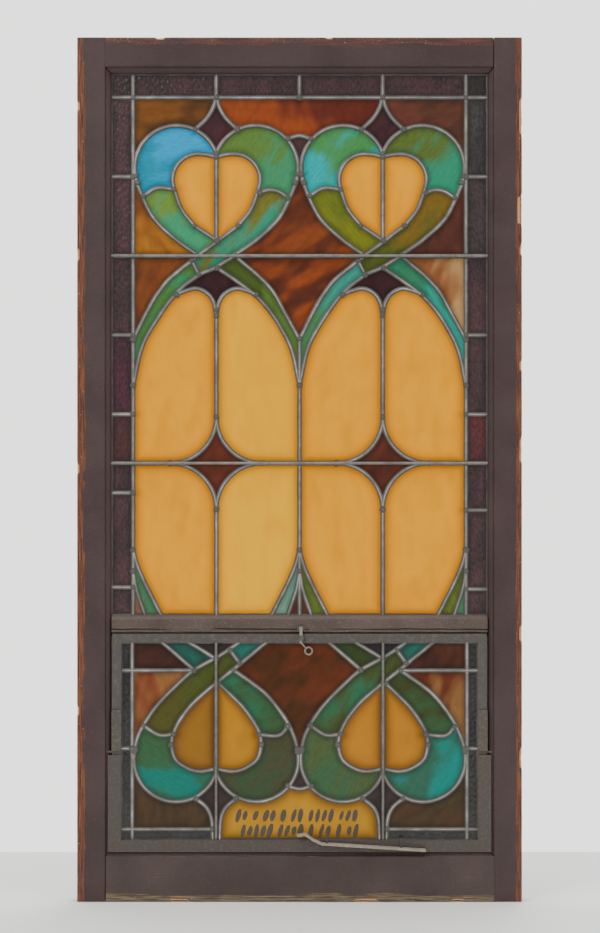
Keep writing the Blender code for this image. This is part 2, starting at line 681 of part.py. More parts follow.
STEEL = (0.11, 0.10, 0.09)
OLD_STEEL = (0.30, 0.27, 0.23)


def rod(name, centre, axis, start, stop, diameter):
    """A round bar, smooth along its length."""
    bm = bmesh.new()
    prism(bm, circle(centre, diameter / 2), axis, start, stop)
    return finish(name, bm, STEEL, 0.5, 0.8, smooth_angle=math.radians(40))


def slabs(name, groups, levels, colour):
    """A steel piece in flat slabs, each covered by its own outlines."""
    vertices, faces, masks = cells(groups)
    return finish(name, stacked(vertices, faces, levels, masks), colour, 0.5, 0.8)


def rectangle(x0, z0, x1, z1):
    """Four corners of an upright rectangle."""
    return np.array([(x0, z0), (x1, z0), (x1, z1), (x0, z1)])


# Saddle bars: two across the fixed light, let into the stiles, and two upright
# ones soldered to the leads of the vent.
for name, bar_z in zip(("lower_saddle_bar", "upper_saddle_bar"), UPPER_BAR_ZS):
    rod(name, (BAR_Y, bar_z), "x", -SIGHT_X - BAR_SINKING, SIGHT_X + BAR_SINKING, BAR_DIAMETER)

VENT_ROD_Y = VENT_GLASS_Y - CAME_DEPTH / 2 - GAP - BAR_DIAMETER / 2
for hand, middle in zip(("left", "right"), HEARTS):
    rod(f"vent_{hand}_bar", (vent.real((middle, 0))[0], VENT_ROD_Y), "z",
        VENT_SIGHT_BOTTOM + GAP, VENT_SIGHT_TOP - GAP, BAR_DIAMETER)

# Steel vent: a sash of angle bar on two side pivots. Above the pivots it closes
# against a stop on the outside, below them against a flange on the room side.
vent_corners = (-VENT_X, VENT_BOTTOM), (VENT_X, VENT_TOP)
sash = slabs("vent_sash", [frame_strips(*vent_corners, VENT_FACE), frame_strips(*vent_corners, VENT_WEB)],
             [VENT_FRONT, VENT_FRONT + VENT_LEAF, VENT_BACK], STEEL)
for side in (-1, 1):
    join(sash, circle((PIVOT_Y, PIVOT_HEIGHT), PIVOT_PIN_DIAMETER / 2), "x",
         side * (VENT_X - VENT_WEB / 2), side * (VENT_X + PIVOT_PIN_LENGTH))

frame_x = REBATE_X - GAP
frame_bottom = BOTTOM_SIGHT - REBATE_WIDTH + GAP
frame_top = TRANSOM_BOTTOM + REBATE_WIDTH - GAP
liner = frame_strips((-frame_x, frame_bottom), (frame_x, frame_top), LINER_THICKNESS)
stop_x = VENT_X - STOP_OVERLAP
stop_foot = PIVOT_HEIGHT + PIVOT_STOP_CLEARANCE
stop = [rectangle(-frame_x, VENT_TOP - STOP_OVERLAP, frame_x, frame_top),
        rectangle(-frame_x, stop_foot, -stop_x, frame_top),
        rectangle(stop_x, stop_foot, frame_x, frame_top)]
stop_y = VENT_BACK + GAP
slabs("vent_frame", [liner, liner + stop, liner],
      [REBATE_Y + GAP, stop_y, stop_y + STOP_THICKNESS, BACK], STEEL)

flange_x = SIGHT_X + FLANGE_OUTREACH
flange_foot = BOTTOM_SIGHT - FLANGE_DROP
flange_head = PIVOT_HEIGHT - FLANGE_PIVOT_GAP
flange_back = VENT_FRONT - GAP
flange_front = flange_back - STOP_THICKNESS
flange = slabs("vent_lower_flange", [[
    rectangle(-flange_x, flange_foot, flange_x, VENT_SIGHT_BOTTOM),
    rectangle(-flange_x, flange_foot, -VENT_SIGHT_X, flange_head),
    rectangle(VENT_SIGHT_X, flange_foot, flange_x, flange_head)]],
    [flange_front, flange_back], STEEL)

for side, hand in ((-1, "left"), (1, "right")):
    edges = sorted((side * VENT_SIGHT_X, side * (SIGHT_X - 2 * GAP)))
    slabs(f"{hand}_pivot_sleeve", [[rectangle(
        edges[0], PIVOT_HEIGHT + SLEEVE_PIVOT_GAP, edges[1], PIVOT_HEIGHT + SLEEVE_LENGTH)]],
        [flange_back - SLEEVE_THICKNESS, flange_back], OLD_STEEL)

# Spring catch: a plate with a guide on the vent's top bar, a bolt with a pull
# ring that slides in the guide, and a strike plate behind its nose.
plate_front = flange_back - CATCH_PLATE_THICKNESS
bolt_back = plate_front - BOLT_CLEARANCE
bolt_front = bolt_back - BOLT_THICKNESS
plate = slabs("catch_plate", [[rectangle(
    CATCH_PLATE_LEFT, VENT_SIGHT_TOP + CATCH_PLATE_MARGIN,
    CATCH_PLATE_LEFT + CATCH_PLATE_WIDTH, VENT_TOP - CATCH_PLATE_MARGIN)]],
    [plate_front, flange_back], OLD_STEEL)
slot_half = BOLT_WIDTH / 2 + BOLT_CLEARANCE
guide_half = slot_half + GUIDE_WALL
guide_middle = (VENT_TOP + VENT_SIGHT_TOP) / 2
slot_front = bolt_front - BOLT_CLEARANCE
join(plate, [(BOLT_CENTRE_X - guide_half, slot_front - GUIDE_WALL),
             (BOLT_CENTRE_X + guide_half, slot_front - GUIDE_WALL),
             (BOLT_CENTRE_X + guide_half, flange_back), (BOLT_CENTRE_X - guide_half, flange_back)],
     "z", guide_middle - GUIDE_HEIGHT / 2, guide_middle + GUIDE_HEIGHT / 2)
cut(plate, [(BOLT_CENTRE_X - slot_half, slot_front), (BOLT_CENTRE_X + slot_half, slot_front),
            (BOLT_CENTRE_X + slot_half, plate_front), (BOLT_CENTRE_X - slot_half, plate_front)],
    "z", VENT_SIGHT_TOP - 5, VENT_TOP + 5)

bolt = slabs("catch_bolt", [[rectangle(
    BOLT_CENTRE_X - BOLT_WIDTH / 2, VENT_TOP - BOLT_TAIL,
    BOLT_CENTRE_X + BOLT_WIDTH / 2, VENT_TOP + BOLT_RISE)]], [bolt_front, bolt_back], OLD_STEEL)
ring_x, ring_z = RING_CENTRE[0], VENT_TOP + RING_CENTRE[1]
ring_y = (bolt_front + bolt_back) / 2
stem = ribbon([(BOLT_CENTRE_X, VENT_TOP - BOLT_TAIL + STEM_THICKNESS),
               (ring_x - RING_RADIUS * 0.72, ring_z + RING_RADIUS * 0.72)], STEM_THICKNESS)
join(bolt, stem, "y", bolt_front + 0.5, bolt_back - 0.5)
bm = bmesh.new()
ring_loop = [bm.verts.new((ring_x + RING_RADIUS + RING_WIRE / 2 * math.cos(t),
                           ring_y + RING_WIRE / 2 * math.sin(t), ring_z))
             for t in np.arange(6) * math.pi / 3]
ring_edges = [bm.edges.new((a, b)) for a, b in zip(ring_loop, ring_loop[1:] + ring_loop[:1])]
bmesh.ops.spin(bm, geom=ring_loop + ring_edges, cent=(ring_x, ring_y, ring_z), axis=(0, 1, 0),
               angle=2 * math.pi, steps=14, use_merge=True)
bmesh.ops.remove_doubles(bm, verts=bm.verts, dist=0.01)
bmesh.ops.recalc_face_normals(bm, faces=bm.faces)
ring = finish("guide_ring", bm, OLD_STEEL, 0.5)
ring.hide_render = True
ring.display_type = "WIRE"
weld = bolt.modifiers.new("ring", "BOOLEAN")
weld.object = ring
weld.operation = "UNION"
weld.solver = "EXACT"

keeper_foot = TRANSOM_BOTTOM + KEEPER_LIFT
slabs("keeper_plate", [[rectangle(
    BOLT_CENTRE_X - KEEPER_SIZE[0] / 2, keeper_foot,
    BOLT_CENTRE_X + KEEPER_SIZE[0] / 2, keeper_foot + KEEPER_SIZE[1])]],
    [TRANSOM_FRONT - GAP - KEEPER_THICKNESS, TRANSOM_FRONT - GAP], OLD_STEEL)

# Stay bar: a flat bar with a curled grip. It only lies on two bent pegs, which
# are riveted to the lower flange and stand up through its holes.
stay_y = flange_front - STAY_STANDOFF


def stay_z(x):
    """Height of the middle of the bar's straight part."""
    return STAY_END_HEIGHT + (STAY_END_X - x) * STAY_SLOPE


curl = [(x, stay_z(STAY_CURL_START) + rise) for x, rise in STAY_CURL]
stay_path = [(STAY_END_X, stay_z(STAY_END_X)), (STAY_CURL_START + 12, stay_z(STAY_CURL_START + 12)),
             (STAY_CURL_START, stay_z(STAY_CURL_START)), *curl]
stay = shape("stay_bar", [tuple(p) for p in ribbon(stay_path, STAY_THICKNESS)], "y",
             stay_y - STAY_WIDTH / 2, stay_y + STAY_WIDTH / 2, OLD_STEEL, 0.5, 0.8)
for hole_x in (*STAY_PEG_XS, STAY_SPARE_HOLE_X):
    cut(stay, circle((hole_x, stay_y), STAY_HOLE_DIAMETER / 2), "z",
        stay_z(hole_x) - STAY_WIDTH, stay_z(hole_x) + STAY_WIDTH)
for peg_x in STAY_PEG_XS:
    foot_z = stay_z(peg_x) - STAY_THICKNESS / 2 - 2 * GAP - STAY_PEG_DIAMETER / 2
    join(flange, circle((peg_x, foot_z), STAY_PEG_DIAMETER / 2, 8), "y",
         flange_front + STOP_THICKNESS / 2, stay_y - STAY_PEG_DIAMETER / 2)
    join(flange, circle((peg_x, stay_y), STAY_PEG_DIAMETER / 2 - 0.1, 8), "z",
         foot_z - 1, stay_z(peg_x) + STAY_PEG_RISE)
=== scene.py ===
"""Stained glass window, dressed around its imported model. Sizes are millimetres until the
mesh is filled: x across, y from the room side (minus) to the outside (plus), z up."""

import json
import math

import bpy
import numpy as np
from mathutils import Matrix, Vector, geometry


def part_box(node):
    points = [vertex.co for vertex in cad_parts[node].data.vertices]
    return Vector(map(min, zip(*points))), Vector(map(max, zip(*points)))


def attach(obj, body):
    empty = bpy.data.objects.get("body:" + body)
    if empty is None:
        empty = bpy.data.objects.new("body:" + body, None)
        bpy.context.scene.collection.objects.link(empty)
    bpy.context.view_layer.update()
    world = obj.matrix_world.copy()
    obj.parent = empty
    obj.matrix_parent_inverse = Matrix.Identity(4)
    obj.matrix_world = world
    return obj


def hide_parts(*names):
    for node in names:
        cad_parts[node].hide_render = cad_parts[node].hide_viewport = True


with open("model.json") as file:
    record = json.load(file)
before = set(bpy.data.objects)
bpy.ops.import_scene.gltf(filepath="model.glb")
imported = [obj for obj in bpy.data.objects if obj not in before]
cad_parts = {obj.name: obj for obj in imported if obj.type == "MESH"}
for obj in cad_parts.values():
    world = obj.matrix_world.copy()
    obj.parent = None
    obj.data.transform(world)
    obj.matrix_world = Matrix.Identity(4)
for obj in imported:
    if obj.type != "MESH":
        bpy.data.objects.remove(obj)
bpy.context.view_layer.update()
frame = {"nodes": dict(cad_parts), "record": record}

# Wood sash. Two pine stiles run the full height, with the rails and the transom between
# them; the inner edges are moulded and mitred. Brown oil paint, rubbed through to the
# stained wood along the outer edges, chipped on the right and dusty on the transom.
MM = 0.001


def span(node):
    """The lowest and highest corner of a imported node, in millimetres."""
    return [np.array(corner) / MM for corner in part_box(node)]


def linear(code, strength=1.0):
    """An sRGB hex colour as linear red, green, blue and 1: below 0.04045 a straight line,
    above it a power of 2.4."""
    value = np.array([int(code[i:i + 2], 16) for i in (1, 3, 5)]) / 255
    value = np.where(value <= 0.04045, value / 12.92, ((value + 0.055) / 1.055) ** 2.4)
    return (*(value * strength), 1.0)


def connect(node, inputs):
    """Gives each named socket of a node its value, or a link from another node: from the
    output named, or from the first one."""
    for key, value in dict(inputs).items():
        if isinstance(value, bpy.types.Node):
            value = value.outputs[0]
        if isinstance(value, bpy.types.NodeSocket):
            node.id_data.links.new(value, node.inputs[key])
        else:
            node.inputs[key].default_value = value


def add(tree, kind, inputs=(), **settings):
    """Adds a shader node with its settings and inputs."""
    new = tree.nodes.new("ShaderNode" + kind)
    for key, value in settings.items():
        setattr(new, key, value)
    connect(new, inputs)
    return new


def new_material(name):
    """An empty Principled material: (material, its tree, its shader)."""
    material = bpy.data.materials.new(name)
    material.use_nodes = True
    return material, material.node_tree, material.node_tree.nodes["Principled BSDF"]


def smoothstep(low, high, value):
    """0 below low, 1 above high, and the cubic 3t^2 - 2t^3 between them."""
    t = np.clip((value - low) / (high - low), 0.0, 1.0)
    return t * t * (3 - 2 * t)


def waves(x, z, seed, longest, shortest, count=9):
    """Smooth noise from -1 to 1: plane waves in random directions, whose lengths run from
    longest to shortest and whose heights go with the root of their lengths."""
    draw = np.random.default_rng(seed)
    lengths = np.geomspace(longest, shortest, count)
    turns, phases = draw.uniform(0, 2 * np.pi, (2, count))
    heights = np.sqrt(lengths / longest)
    total = sum(h * np.sin((x * np.cos(t) + z * np.sin(t)) * 2 * np.pi / w + p)
                for h, w, t, p in zip(heights, lengths, turns, phases))
    return np.clip(total / heights.sum() * 1.8, -1, 1)


def put_fields(mesh, fields):
    """Stores arrays on the mesh's points: one number, a vector, or a colour for each."""
    for name, values in fields.items():
        kind = {1: "FLOAT", 3: "FLOAT_VECTOR", 4: "FLOAT_COLOR"}[values.reshape(len(values), -1).shape[1]]
        key = {"FLOAT": "value", "FLOAT_VECTOR": "vector", "FLOAT_COLOR": "color"}[kind]
        mesh.attributes.new(name, kind, "POINT").data.foreach_set(key, values.astype(np.float32).ravel())


def shells(name, grids, looped=False, **fields):
    """One mesh of closed tubes. A grid holds rings of points in millimetres; neighbouring
    rings are joined by quads and the end rings filled. A tube whose wall has a negative
    volume about its own middle is turned the other way out."""
    faces, count = [], 0
    for grid in grids:
        rings, around = grid.shape[:2]
        index = np.arange(rings * around).reshape(rings, around)
        rows = np.vstack([index, index[:1]]) if looped else index
        near, far = rows[:-1], rows[1:]
        quads = np.stack([near, np.roll(near, -1, axis=1), np.roll(far, -1, axis=1), far], axis=-1)
        corner = (grid.reshape(-1, 3) - grid.mean(axis=(0, 1)))[quads.reshape(-1, 4)]
        wall = np.cross(corner[:, 1], corner[:, 2]) + np.cross(corner[:, 2], corner[:, 3])
        turn = -1 if (corner[:, 0] * wall).sum() < 0 else 1
        faces += (quads.reshape(-1, 4)[:, ::turn] + count).tolist()
        if not looped:
            faces += [(index[0][::-turn] + count).tolist(), (index[-1][::turn] + count).tolist()]
        count += rings * around
    mesh = bpy.data.meshes.new(name)
    mesh.from_pydata(np.concatenate([g.reshape(-1, 3) for g in grids]) * MM, [], faces)
    put_fields(mesh, {key: np.concatenate([v.reshape(g.shape[0] * g.shape[1], -1)
                                           for v, g in zip(values, grids)])
                      for key, values in fields.items()})
    return mesh


def put_in_scene(name, data):
    """A new object in the scene, at the origin."""
    thing = bpy.data.objects.new(name, data)
    bpy.context.scene.collection.objects.link(thing)
    return thing


def fit(name, mesh, material, body, slot, *nodes, angle=35):
    """Makes the piece: shades it smooth up to an angle, gives it its material, lets it ride
    and hides the imported nodes that it stands for. The slot is not used."""
    mesh.shade_smooth()
    mesh.set_sharp_from_angle(angle=math.radians(angle))
    mesh.materials.append(material)
    piece = put_in_scene(name, mesh)
    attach(piece, body)
    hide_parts(*nodes)


def softened(outline, radius, step):
    """A closed outline with rounded corners and divided sides, as (points, outward
    normals, corner share). Each corner gives way to the parabola between the two points
    one radius away from it; corner share is the sine of the corner's turn at its middle
    and 0 on the flats."""
    outline = np.array(outline, float)
    to_next = np.roll(outline, -1, axis=0) - outline
    length = np.linalg.norm(to_next, axis=1)[:, None]
    reach = np.minimum(radius, 0.45 * length)
    leave = outline + to_next / length * reach
    arrive = np.roll(outline, -1, axis=0) - to_next / length * reach
    ahead = to_next / length
    bite = np.abs(ahead[:, 0] * np.roll(ahead[:, 1], 1) - ahead[:, 1] * np.roll(ahead[:, 0], 1))
    points, share = [], []
    for before, corner, after, end, sharp in zip(np.roll(arrive, 1, axis=0), outline, leave, arrive, bite):
        t = np.linspace(0, 1, 5)[:, None]
        points.append((1 - t) ** 2 * before + 2 * t * (1 - t) * corner + t * t * after)
        share.append(sharp * (1 - np.abs(2 * t[:, 0] - 1)))
        count = int(np.linalg.norm(end - after) // step)
        t = (np.arange(1, count + 1) / (count + 1))[:, None]
        points.append(after + t * (end - after))
        share.append(np.zeros(count))
    points, share = np.concatenate(points), np.concatenate(share)
    along = np.roll(points, -1, axis=0) - np.roll(points, 1, axis=0)
    x, y = points.T
    turn = np.sign((x * np.roll(y, -1) - np.roll(x, -1) * y).sum())
    normals = turn * np.stack([along[:, 1], -along[:, 0]], axis=1)
    return points, normals / np.linalg.norm(normals, axis=1)[:, None], share


MOULDING = [(0.0, 0.0), (1.5, 3.5), (4.5, 6.0), (9.0, 9.0), (12.0, 14.5)]
RING_STEP, FACE_STEP = 6.0, 4.5
ARRIS, END_EASE = 1.6, 1.2


def timber(outline, low, high, seed, band, chips=(), groove=None):
    """A board: its outline carried along its length, as (across, y, along, fields).

    low and high give each point's end as a number or a function of across, so that a
    mitre can slope. The skin sinks by a long low noise, by the wear of its corners and
    where a chip, (along, length, depth), takes the outer front corner off. band is the
    width of the worn stretch beside the outer edge."""
    points, normals, corner = softened(outline, ARRIS, FACE_STEP)
    across, y = points.T
    start, stop = (end(across) if callable(end) else np.full(len(across), float(end))
                   for end in (low, high))
    count = int((stop - start).max() // RING_STEP)
    t = np.concatenate([[0.0, 0.0], np.linspace(0, 1, count)[1:-1], [1.0, 1.0]])[:, None]
    along = start + t * (stop - start)
    along[1] += END_EASE
    along[-2] -= END_EASE
    around = np.cumsum(np.linalg.norm(np.diff(points, axis=0, prepend=points[-1:]), axis=1))
    sink = 0.12 * waves(along, around, seed, 90, 9) - 0.12
    rub = smoothstep(-0.3, 0.8, waves(along, 0 * along, seed + 1, 160, 14))
    sink -= corner * (0.25 + 0.8 * rub)
    sink[[0, -1]] -= 1.0
    front = y < y.min() + 1.0
    edge = band * (0.86 + 0.2 * waves(along, across, seed + 2, 300, 14))
    worn = np.where(front, smoothstep(-1.5, 1.5, edge - across), 0.0)
    worn = worn * (0.62 + 0.38 * smoothstep(-0.7, 0.2, waves(along, across * 3, seed + 3, 200, 16)))
    worn = np.maximum(worn, corner * smoothstep(0.4, 1.0, rub) * (y < 0))
    worn = np.where((across < 0.8) & ~front, 0.9, worn)
    fresh = np.zeros_like(along)
    shift = np.zeros_like(along)
    for place, length, depth in chips:
        bite = smoothstep(0, 0.35, 1 - np.abs(along - place) / (length / 2))
        deep = 9 + 6 * waves(along, around, seed + 8, 46, 9)
        bite = bite * (across < 9) * smoothstep(0, 2, y.min() + deep - y)
        shift += bite * depth * (1 - across / 14)
        fresh = np.maximum(fresh, bite * (across < depth + 1.5))
    if groove:
        place, width, depth = groove
        crack = np.exp(-((across - place) / width) ** 2) * (y < 0)
        sink -= crack * depth * smoothstep(-0.9, 0.1, waves(along, 0 * along, seed + 6, 260, 60))
        shift += 1.3 * waves(along, 0 * along, seed + 5, 120, 18) * np.exp(-((across - place) / 5) ** 2)
    fields = {"grain": np.stack([along + seed * 400.0, around + 0 * along, 0 * along], axis=-1),
              "worn": worn + 0 * along, "fresh": fresh}
    return across + normals[:, 0] * sink + shift, y + normals[:, 1] * sink, along, fields


def dressed_wood(name, paint, boards, place, *nodes):
    """One sash member out of its boards; place turns (across, y, along) into x, y, z."""
    grids = [np.stack(np.broadcast_arrays(*place(a, y, s)), axis=-1) for a, y, s, _ in boards]
    fields = {key: [board[3][key] for board in boards] for key in ("grain", "worn", "fresh")}
    fit(name, shells(name, grids, **fields), paint, "root", "painted_wood", *nodes)


def oil_painted_pine(name, coat, thin_coat, dust, dark_grain, pale_grain):
    """Old oil paint on pine: satin brown with brush marks along the grain, dull where it is
    thin. Rubbed places show the wood's grain, chips the yellow of fresh pine."""
    material, tree, shader = new_material(name)
    grain = add(tree, "Attribute", attribute_name="grain").outputs["Vector"]
    worn = add(tree, "Attribute", attribute_name="worn").outputs["Fac"]
    fresh = add(tree, "Attribute", attribute_name="fresh").outputs["Fac"]
    # Grain lines are about 2 mm apart and run 60 mm; brush marks are about 1 mm wide.
    lines = add(tree, "Mapping", {"Vector": grain, "Scale": (1 / 60, 1 / 2.2, 1)})
    fibre = add(tree, "TexNoise", {"Vector": lines, "Scale": 1.0, "Detail": 6.0,
                                   "Roughness": 0.6, "Distortion": 0.3})
    place = add(tree, "TexCoord").outputs["Object"]
    patch = add(tree, "TexNoise", {"Vector": place, "Scale": 9.0, "Detail": 5.0, "Roughness": 0.5})
    fleck = add(tree, "TexNoise", {"Vector": place, "Scale": 260.0, "Detail": 4.0, "Roughness": 0.7})
    tone = add(tree, "MapRange", {0: patch, 1: 0.38, 2: 0.68})
    paint = add(tree, "Mix", {0: tone, 6: linear(coat), 7: linear(thin_coat)}, data_type="RGBA")
    dusty = add(tree, "MapRange", {0: fleck, 1: 0.56, 2: 0.74, 4: dust})
    paint = add(tree, "Mix", {0: dusty, 6: paint.outputs[2], 7: linear("#9A8C82")}, data_type="RGBA")
    stripe = add(tree, "MapRange", {0: fibre, 1: 0.4, 2: 0.72})
    stain = add(tree, "Mix", {0: stripe, 6: linear(dark_grain), 7: linear(pale_grain)}, data_type="RGBA")
    edge = add(tree, "Math", {0: worn, 1: fibre}, operation="ADD")
    edge = add(tree, "Math", {0: edge, 1: patch}, operation="ADD")
    edge = add(tree, "MapRange", {0: edge, 1: 1.25, 2: 1.75})
    skin = add(tree, "Mix", {0: edge, 6: paint.outputs[2], 7: stain.outputs[2]}, data_type="RGBA")
    speck = add(tree, "MapRange", {0: fleck, 1: 0.64, 2: 0.7, 4: edge})
    skin = add(tree, "Mix", {0: speck, 6: skin.outputs[2], 7: linear("#C4AE92")}, data_type="RGBA")
    pine = add(tree, "Mix", {0: fibre, 6: linear("#B87A40"), 7: linear("#E8B67C")}, data_type="RGBA")
    split = add(tree, "Math", {0: fresh, 1: fibre}, operation="ADD")
    split = add(tree, "MapRange", {0: split, 1: 0.95, 2: 1.1})
    final = add(tree, "Mix", {0: split, 6: skin.outputs[2], 7: pine.outputs[2]}, data_type="RGBA")
    rough = add(tree, "MapRange", {0: patch, 1: 0.3, 2: 0.7, 3: 0.46, 4: 0.66})
    bump = add(tree, "Bump", {"Strength": 0.35, "Distance": 0.0006, "Height": fibre})
    pits = add(tree, "Bump", {"Strength": 0.25, "Distance": 0.0005, "Height": fleck, "Normal": bump})
    connect(shader, {"Base Color": final.outputs[2], "Roughness": rough, "Specular IOR Level": 0.3,
                     "Normal": pits})
    return material


painted_pine = oil_painted_pine("oil_painted_pine", "#423434", "#4C3D3B", 0.12, "#4A2A24", "#9C5E3A")
dusty_pine = oil_painted_pine("dusty_oil_painted_pine", "#4E423D", "#62554D", 0.45, "#44342C", "#7C6858")
rubbed_pine = oil_painted_pine("rubbed_oil_painted_pine", "#3F3030", "#483837", 0.12, "#46302C", "#75483A")
scuffed_pine = oil_painted_pine("scuffed_oil_painted_pine", "#463937", "#524542", 0.16, "#4A3C30", "#9E8C6E")

stile_low, stile_high = span("right_stile")
HALF_WIDTH, SASH_HEIGHT = stile_high[0], stile_high[2]
FRONT, BACK = stile_low[1], stile_high[1]
SIGHT_X, TOP_SIGHT, BOTTOM_SIGHT = stile_low[0], span("top_rail")[0][2], span("bottom_rail")[1][2]
LIP = MOULDING[-1][0]
FACE_X, TOP_FACE, BOTTOM_FACE = SIGHT_X + LIP, TOP_SIGHT + LIP, BOTTOM_SIGHT - LIP
REBATE = 10.0
REBATE_Y = -3.3
OPEN_JOINT = 0.9
CLOSED_JOINT = 1.4


def member(face, low, high, mitre_low, mitre_high, seed, band, chips=()):
    """The two boards of a stile or rail: the flat one, and the moulded lip with its rebate."""
    flat = [(0, BACK), (0, FRONT), (face, FRONT), (face, BACK)]
    lip = [(face, BACK), *[(face + a, FRONT + b) for a, b in MOULDING], (face + LIP, REBATE_Y),
           (face + LIP - REBATE, REBATE_Y), (face + LIP - REBATE, BACK)]
    return [timber(flat, low, high, seed, band, chips),
            timber(lip, lambda a: mitre_low + (a - face), lambda a: mitre_high - (a - face), seed + 7, 0.0)]


stile_face = HALF_WIDTH - FACE_X
LEFT_CHIPS = [(1352, 30, 1.5), (905, 24, 1.6), (398, 26, 1.4), (1660, 22, 1.8)]
RIGHT_CHIPS = [(1445, 68, 5.0), (1362, 26, 2.0), (1640, 90, 2.6), (944, 60, 2.2), (560, 34, 2.4),
               (300, 50, 2.0), (1120, 26, 1.6)]
dressed_wood("left_stile_wood", painted_pine,
             member(stile_face, 0, SASH_HEIGHT, BOTTOM_FACE, TOP_FACE, 11, 18.0, LEFT_CHIPS),
             lambda a, y, s: (a - HALF_WIDTH, y, s), "left_stile")
dressed_wood("right_stile_wood", painted_pine,
             member(stile_face, 0, SASH_HEIGHT, BOTTOM_FACE, TOP_FACE, 23, 14.0, RIGHT_CHIPS),
             lambda a, y, s: (HALF_WIDTH - a, y, s), "right_stile")
half_rail = FACE_X - OPEN_JOINT
painted_over = FACE_X + CLOSED_JOINT
dressed_wood("top_rail_wood", rubbed_pine,
             member(SASH_HEIGHT - TOP_FACE, -painted_over, half_rail, -FACE_X, FACE_X, 37, 18.0,
                    [(-290, 22, 1.8), (60, 16, 1.2)]),
             lambda a, y, s: (s, y, SASH_HEIGHT - a), "top_rail")
dressed_wood("bottom_rail_wood", scuffed_pine,
             member(BOTTOM_FACE, -half_rail, painted_over, -FACE_X, FACE_X, 41, 16.0,
                    [(-250, 46, 2.4), (140, 60, 2.0), (330, 30, 2.6)]),
             lambda a, y, s: (s, y, a), "bottom_rail")

bar_low, bar_high = span("transom")
CRACK_RISE = 6.5
shoulder = SIGHT_X - 0.3
nose = [(0, REBATE_Y), (0, bar_low[1]), (CRACK_RISE - 2.4, bar_low[1]), (CRACK_RISE, bar_low[1]),
        (CRACK_RISE + 2.4, bar_low[1]), (bar_high[2] - bar_low[2] - 7.0, bar_low[1]),
        (bar_high[2] - bar_low[2], FRONT + MOULDING[-1][1]), (bar_high[2] - bar_low[2], REBATE_Y)]
tongue = [(REBATE, BACK), (REBATE, REBATE_Y), (bar_high[2] - bar_low[2] - REBATE, REBATE_Y),
          (bar_high[2] - bar_low[2] - REBATE, BACK)]
dressed_wood("transom_wood", dusty_pine, [
    timber(nose, -shoulder, shoulder, 53, 3.0, groove=(CRACK_RISE, 1.0, 4.0)),
    timber(tongue, -bar_high[0], bar_high[0], 59, 0.0)],
    lambda a, y, s: (s, y, bar_low[2] + a), "transom")


# Lead lines. The glazier's drawing, in millimetres from the middle of each panel's lower
# sight edge, then stretched to the panel. Every line is one lead came between two panes.
HEARTS = (-174.6, 174.6)
MODULE = HEARTS[1]
CURVE_STEP = 6.5
TOP_LINE, SADDLE_LINE, VENT_TOP = 1085.7, 753.2, 414.5


def arc(centre, radius, start, stop):
    """Points on a round stretch, angles in degrees from +x turning towards +z."""
    count = math.ceil(abs(math.radians(stop - start)) * radius / CURVE_STEP) + 1
    angles = np.radians(np.linspace(start, stop, count))
    return [(centre[0] + radius * math.cos(a), centre[1] + radius * math.sin(a)) for a in angles]


def bend(points):
    """A Catmull-Rom curve through the points, in steps of about CURVE_STEP."""
    points = [np.array(p, float) for p in points]
    ghosts = [2 * points[0] - points[1], *points, 2 * points[-1] - points[-2]]
    curve = []
    for a, b, c, d in zip(ghosts, ghosts[1:], ghosts[2:], ghosts[3:]):
        t = np.linspace(0, 1, max(2, round(float(np.linalg.norm(c - b)) / CURVE_STEP) + 1))[:-1, None]
        curve += list(0.5 * (2 * b + (c - a) * t + (2 * a - 5 * b + 4 * c - d) * t**2
                             + (3 * b - a - 3 * c + d) * t**3))
    return [tuple(p) for p in [*curve, points[-1]]]


def mirrored(path):
    """The same path on the other side of x = 0."""
    return [(-x, z) for x, z in path]


def heart_lobe(z, up):
    """Half of a heart's round end, from its notch to its widest point."""
    return arc((83, z), 88.2, 160.5, -21) if up else arc((84, z), 88.2, 196, 374)


def upper_heart():
    """The cames of one upper heart, its ribbons and the arches below, about its middle."""
    side = [(169.5, 921), (166, 904), (134, 836), (88, 790), (46, 760)]
    inner = ([(0, 961), (18, 966)] + arc((37.8, 913.5), 54, 90, -15)
             + bend([(90, 899.5), (73.5, 852.6), (46.2, 816.9)])[1:])
    both_sides = [heart_lobe(938.7, True), inner, arc((97, 415.5), 97, 180, 270),
                  bend([(0, 628), (6, 657), (20, 676), (44, 685), (76, 676), (84, 672)]),
                  arc((97, 221.5), 97, 180, 90), [(97, 318.5), (MODULE, 318.5)],
                  bend([(MODULE, 136.5), (166, 105), (149, 65), (114.5, -3)]),
                  bend([(MODULE, 92), (168, 55), (149, -3)]),
                  bend([(1, TOP_LINE), (6, 1066), (20, 1042), (44, 1019)])]
    paths = both_sides + [mirrored(path) for path in both_sides] + [
        bend(side + [(-2, 729), (-37, 713), (-86, 673), (-134, 605),
                     (-158, 556), (-MODULE, 482)]),
        bend([(46.2, 816.9), (4, 785), (-34, 757), (-50.5, 744), (-83, 718),
              (-107, 696), (-137, 652), (-MODULE, 577.5)]),
        bend([*mirrored(side), (-38, 754)]), bend([(-46.2, 816.9), (2, 785)]),
        bend([(40, 754), (49.6, 744.5), (87.8, 712), (117.6, 680), (140, 641),
              (MODULE, 577.5)]),
        bend([(2, 728), (49.6, 695.7), (86, 667), (112, 638), (134, 605),
              (158, 556), (MODULE, 482)]),
        [(0, 640), (0, 412)], [(0, 224), (0, -3)], [(0, 962), (0, 786)],
        [(-51.5, 744), (-36.8, 714)],
        bend([(91, 886), (109, 892), (130, 889), (151, 875)]),
        bend([(-89, 893), (-124, 896), (-153, 879)])]
    return paths


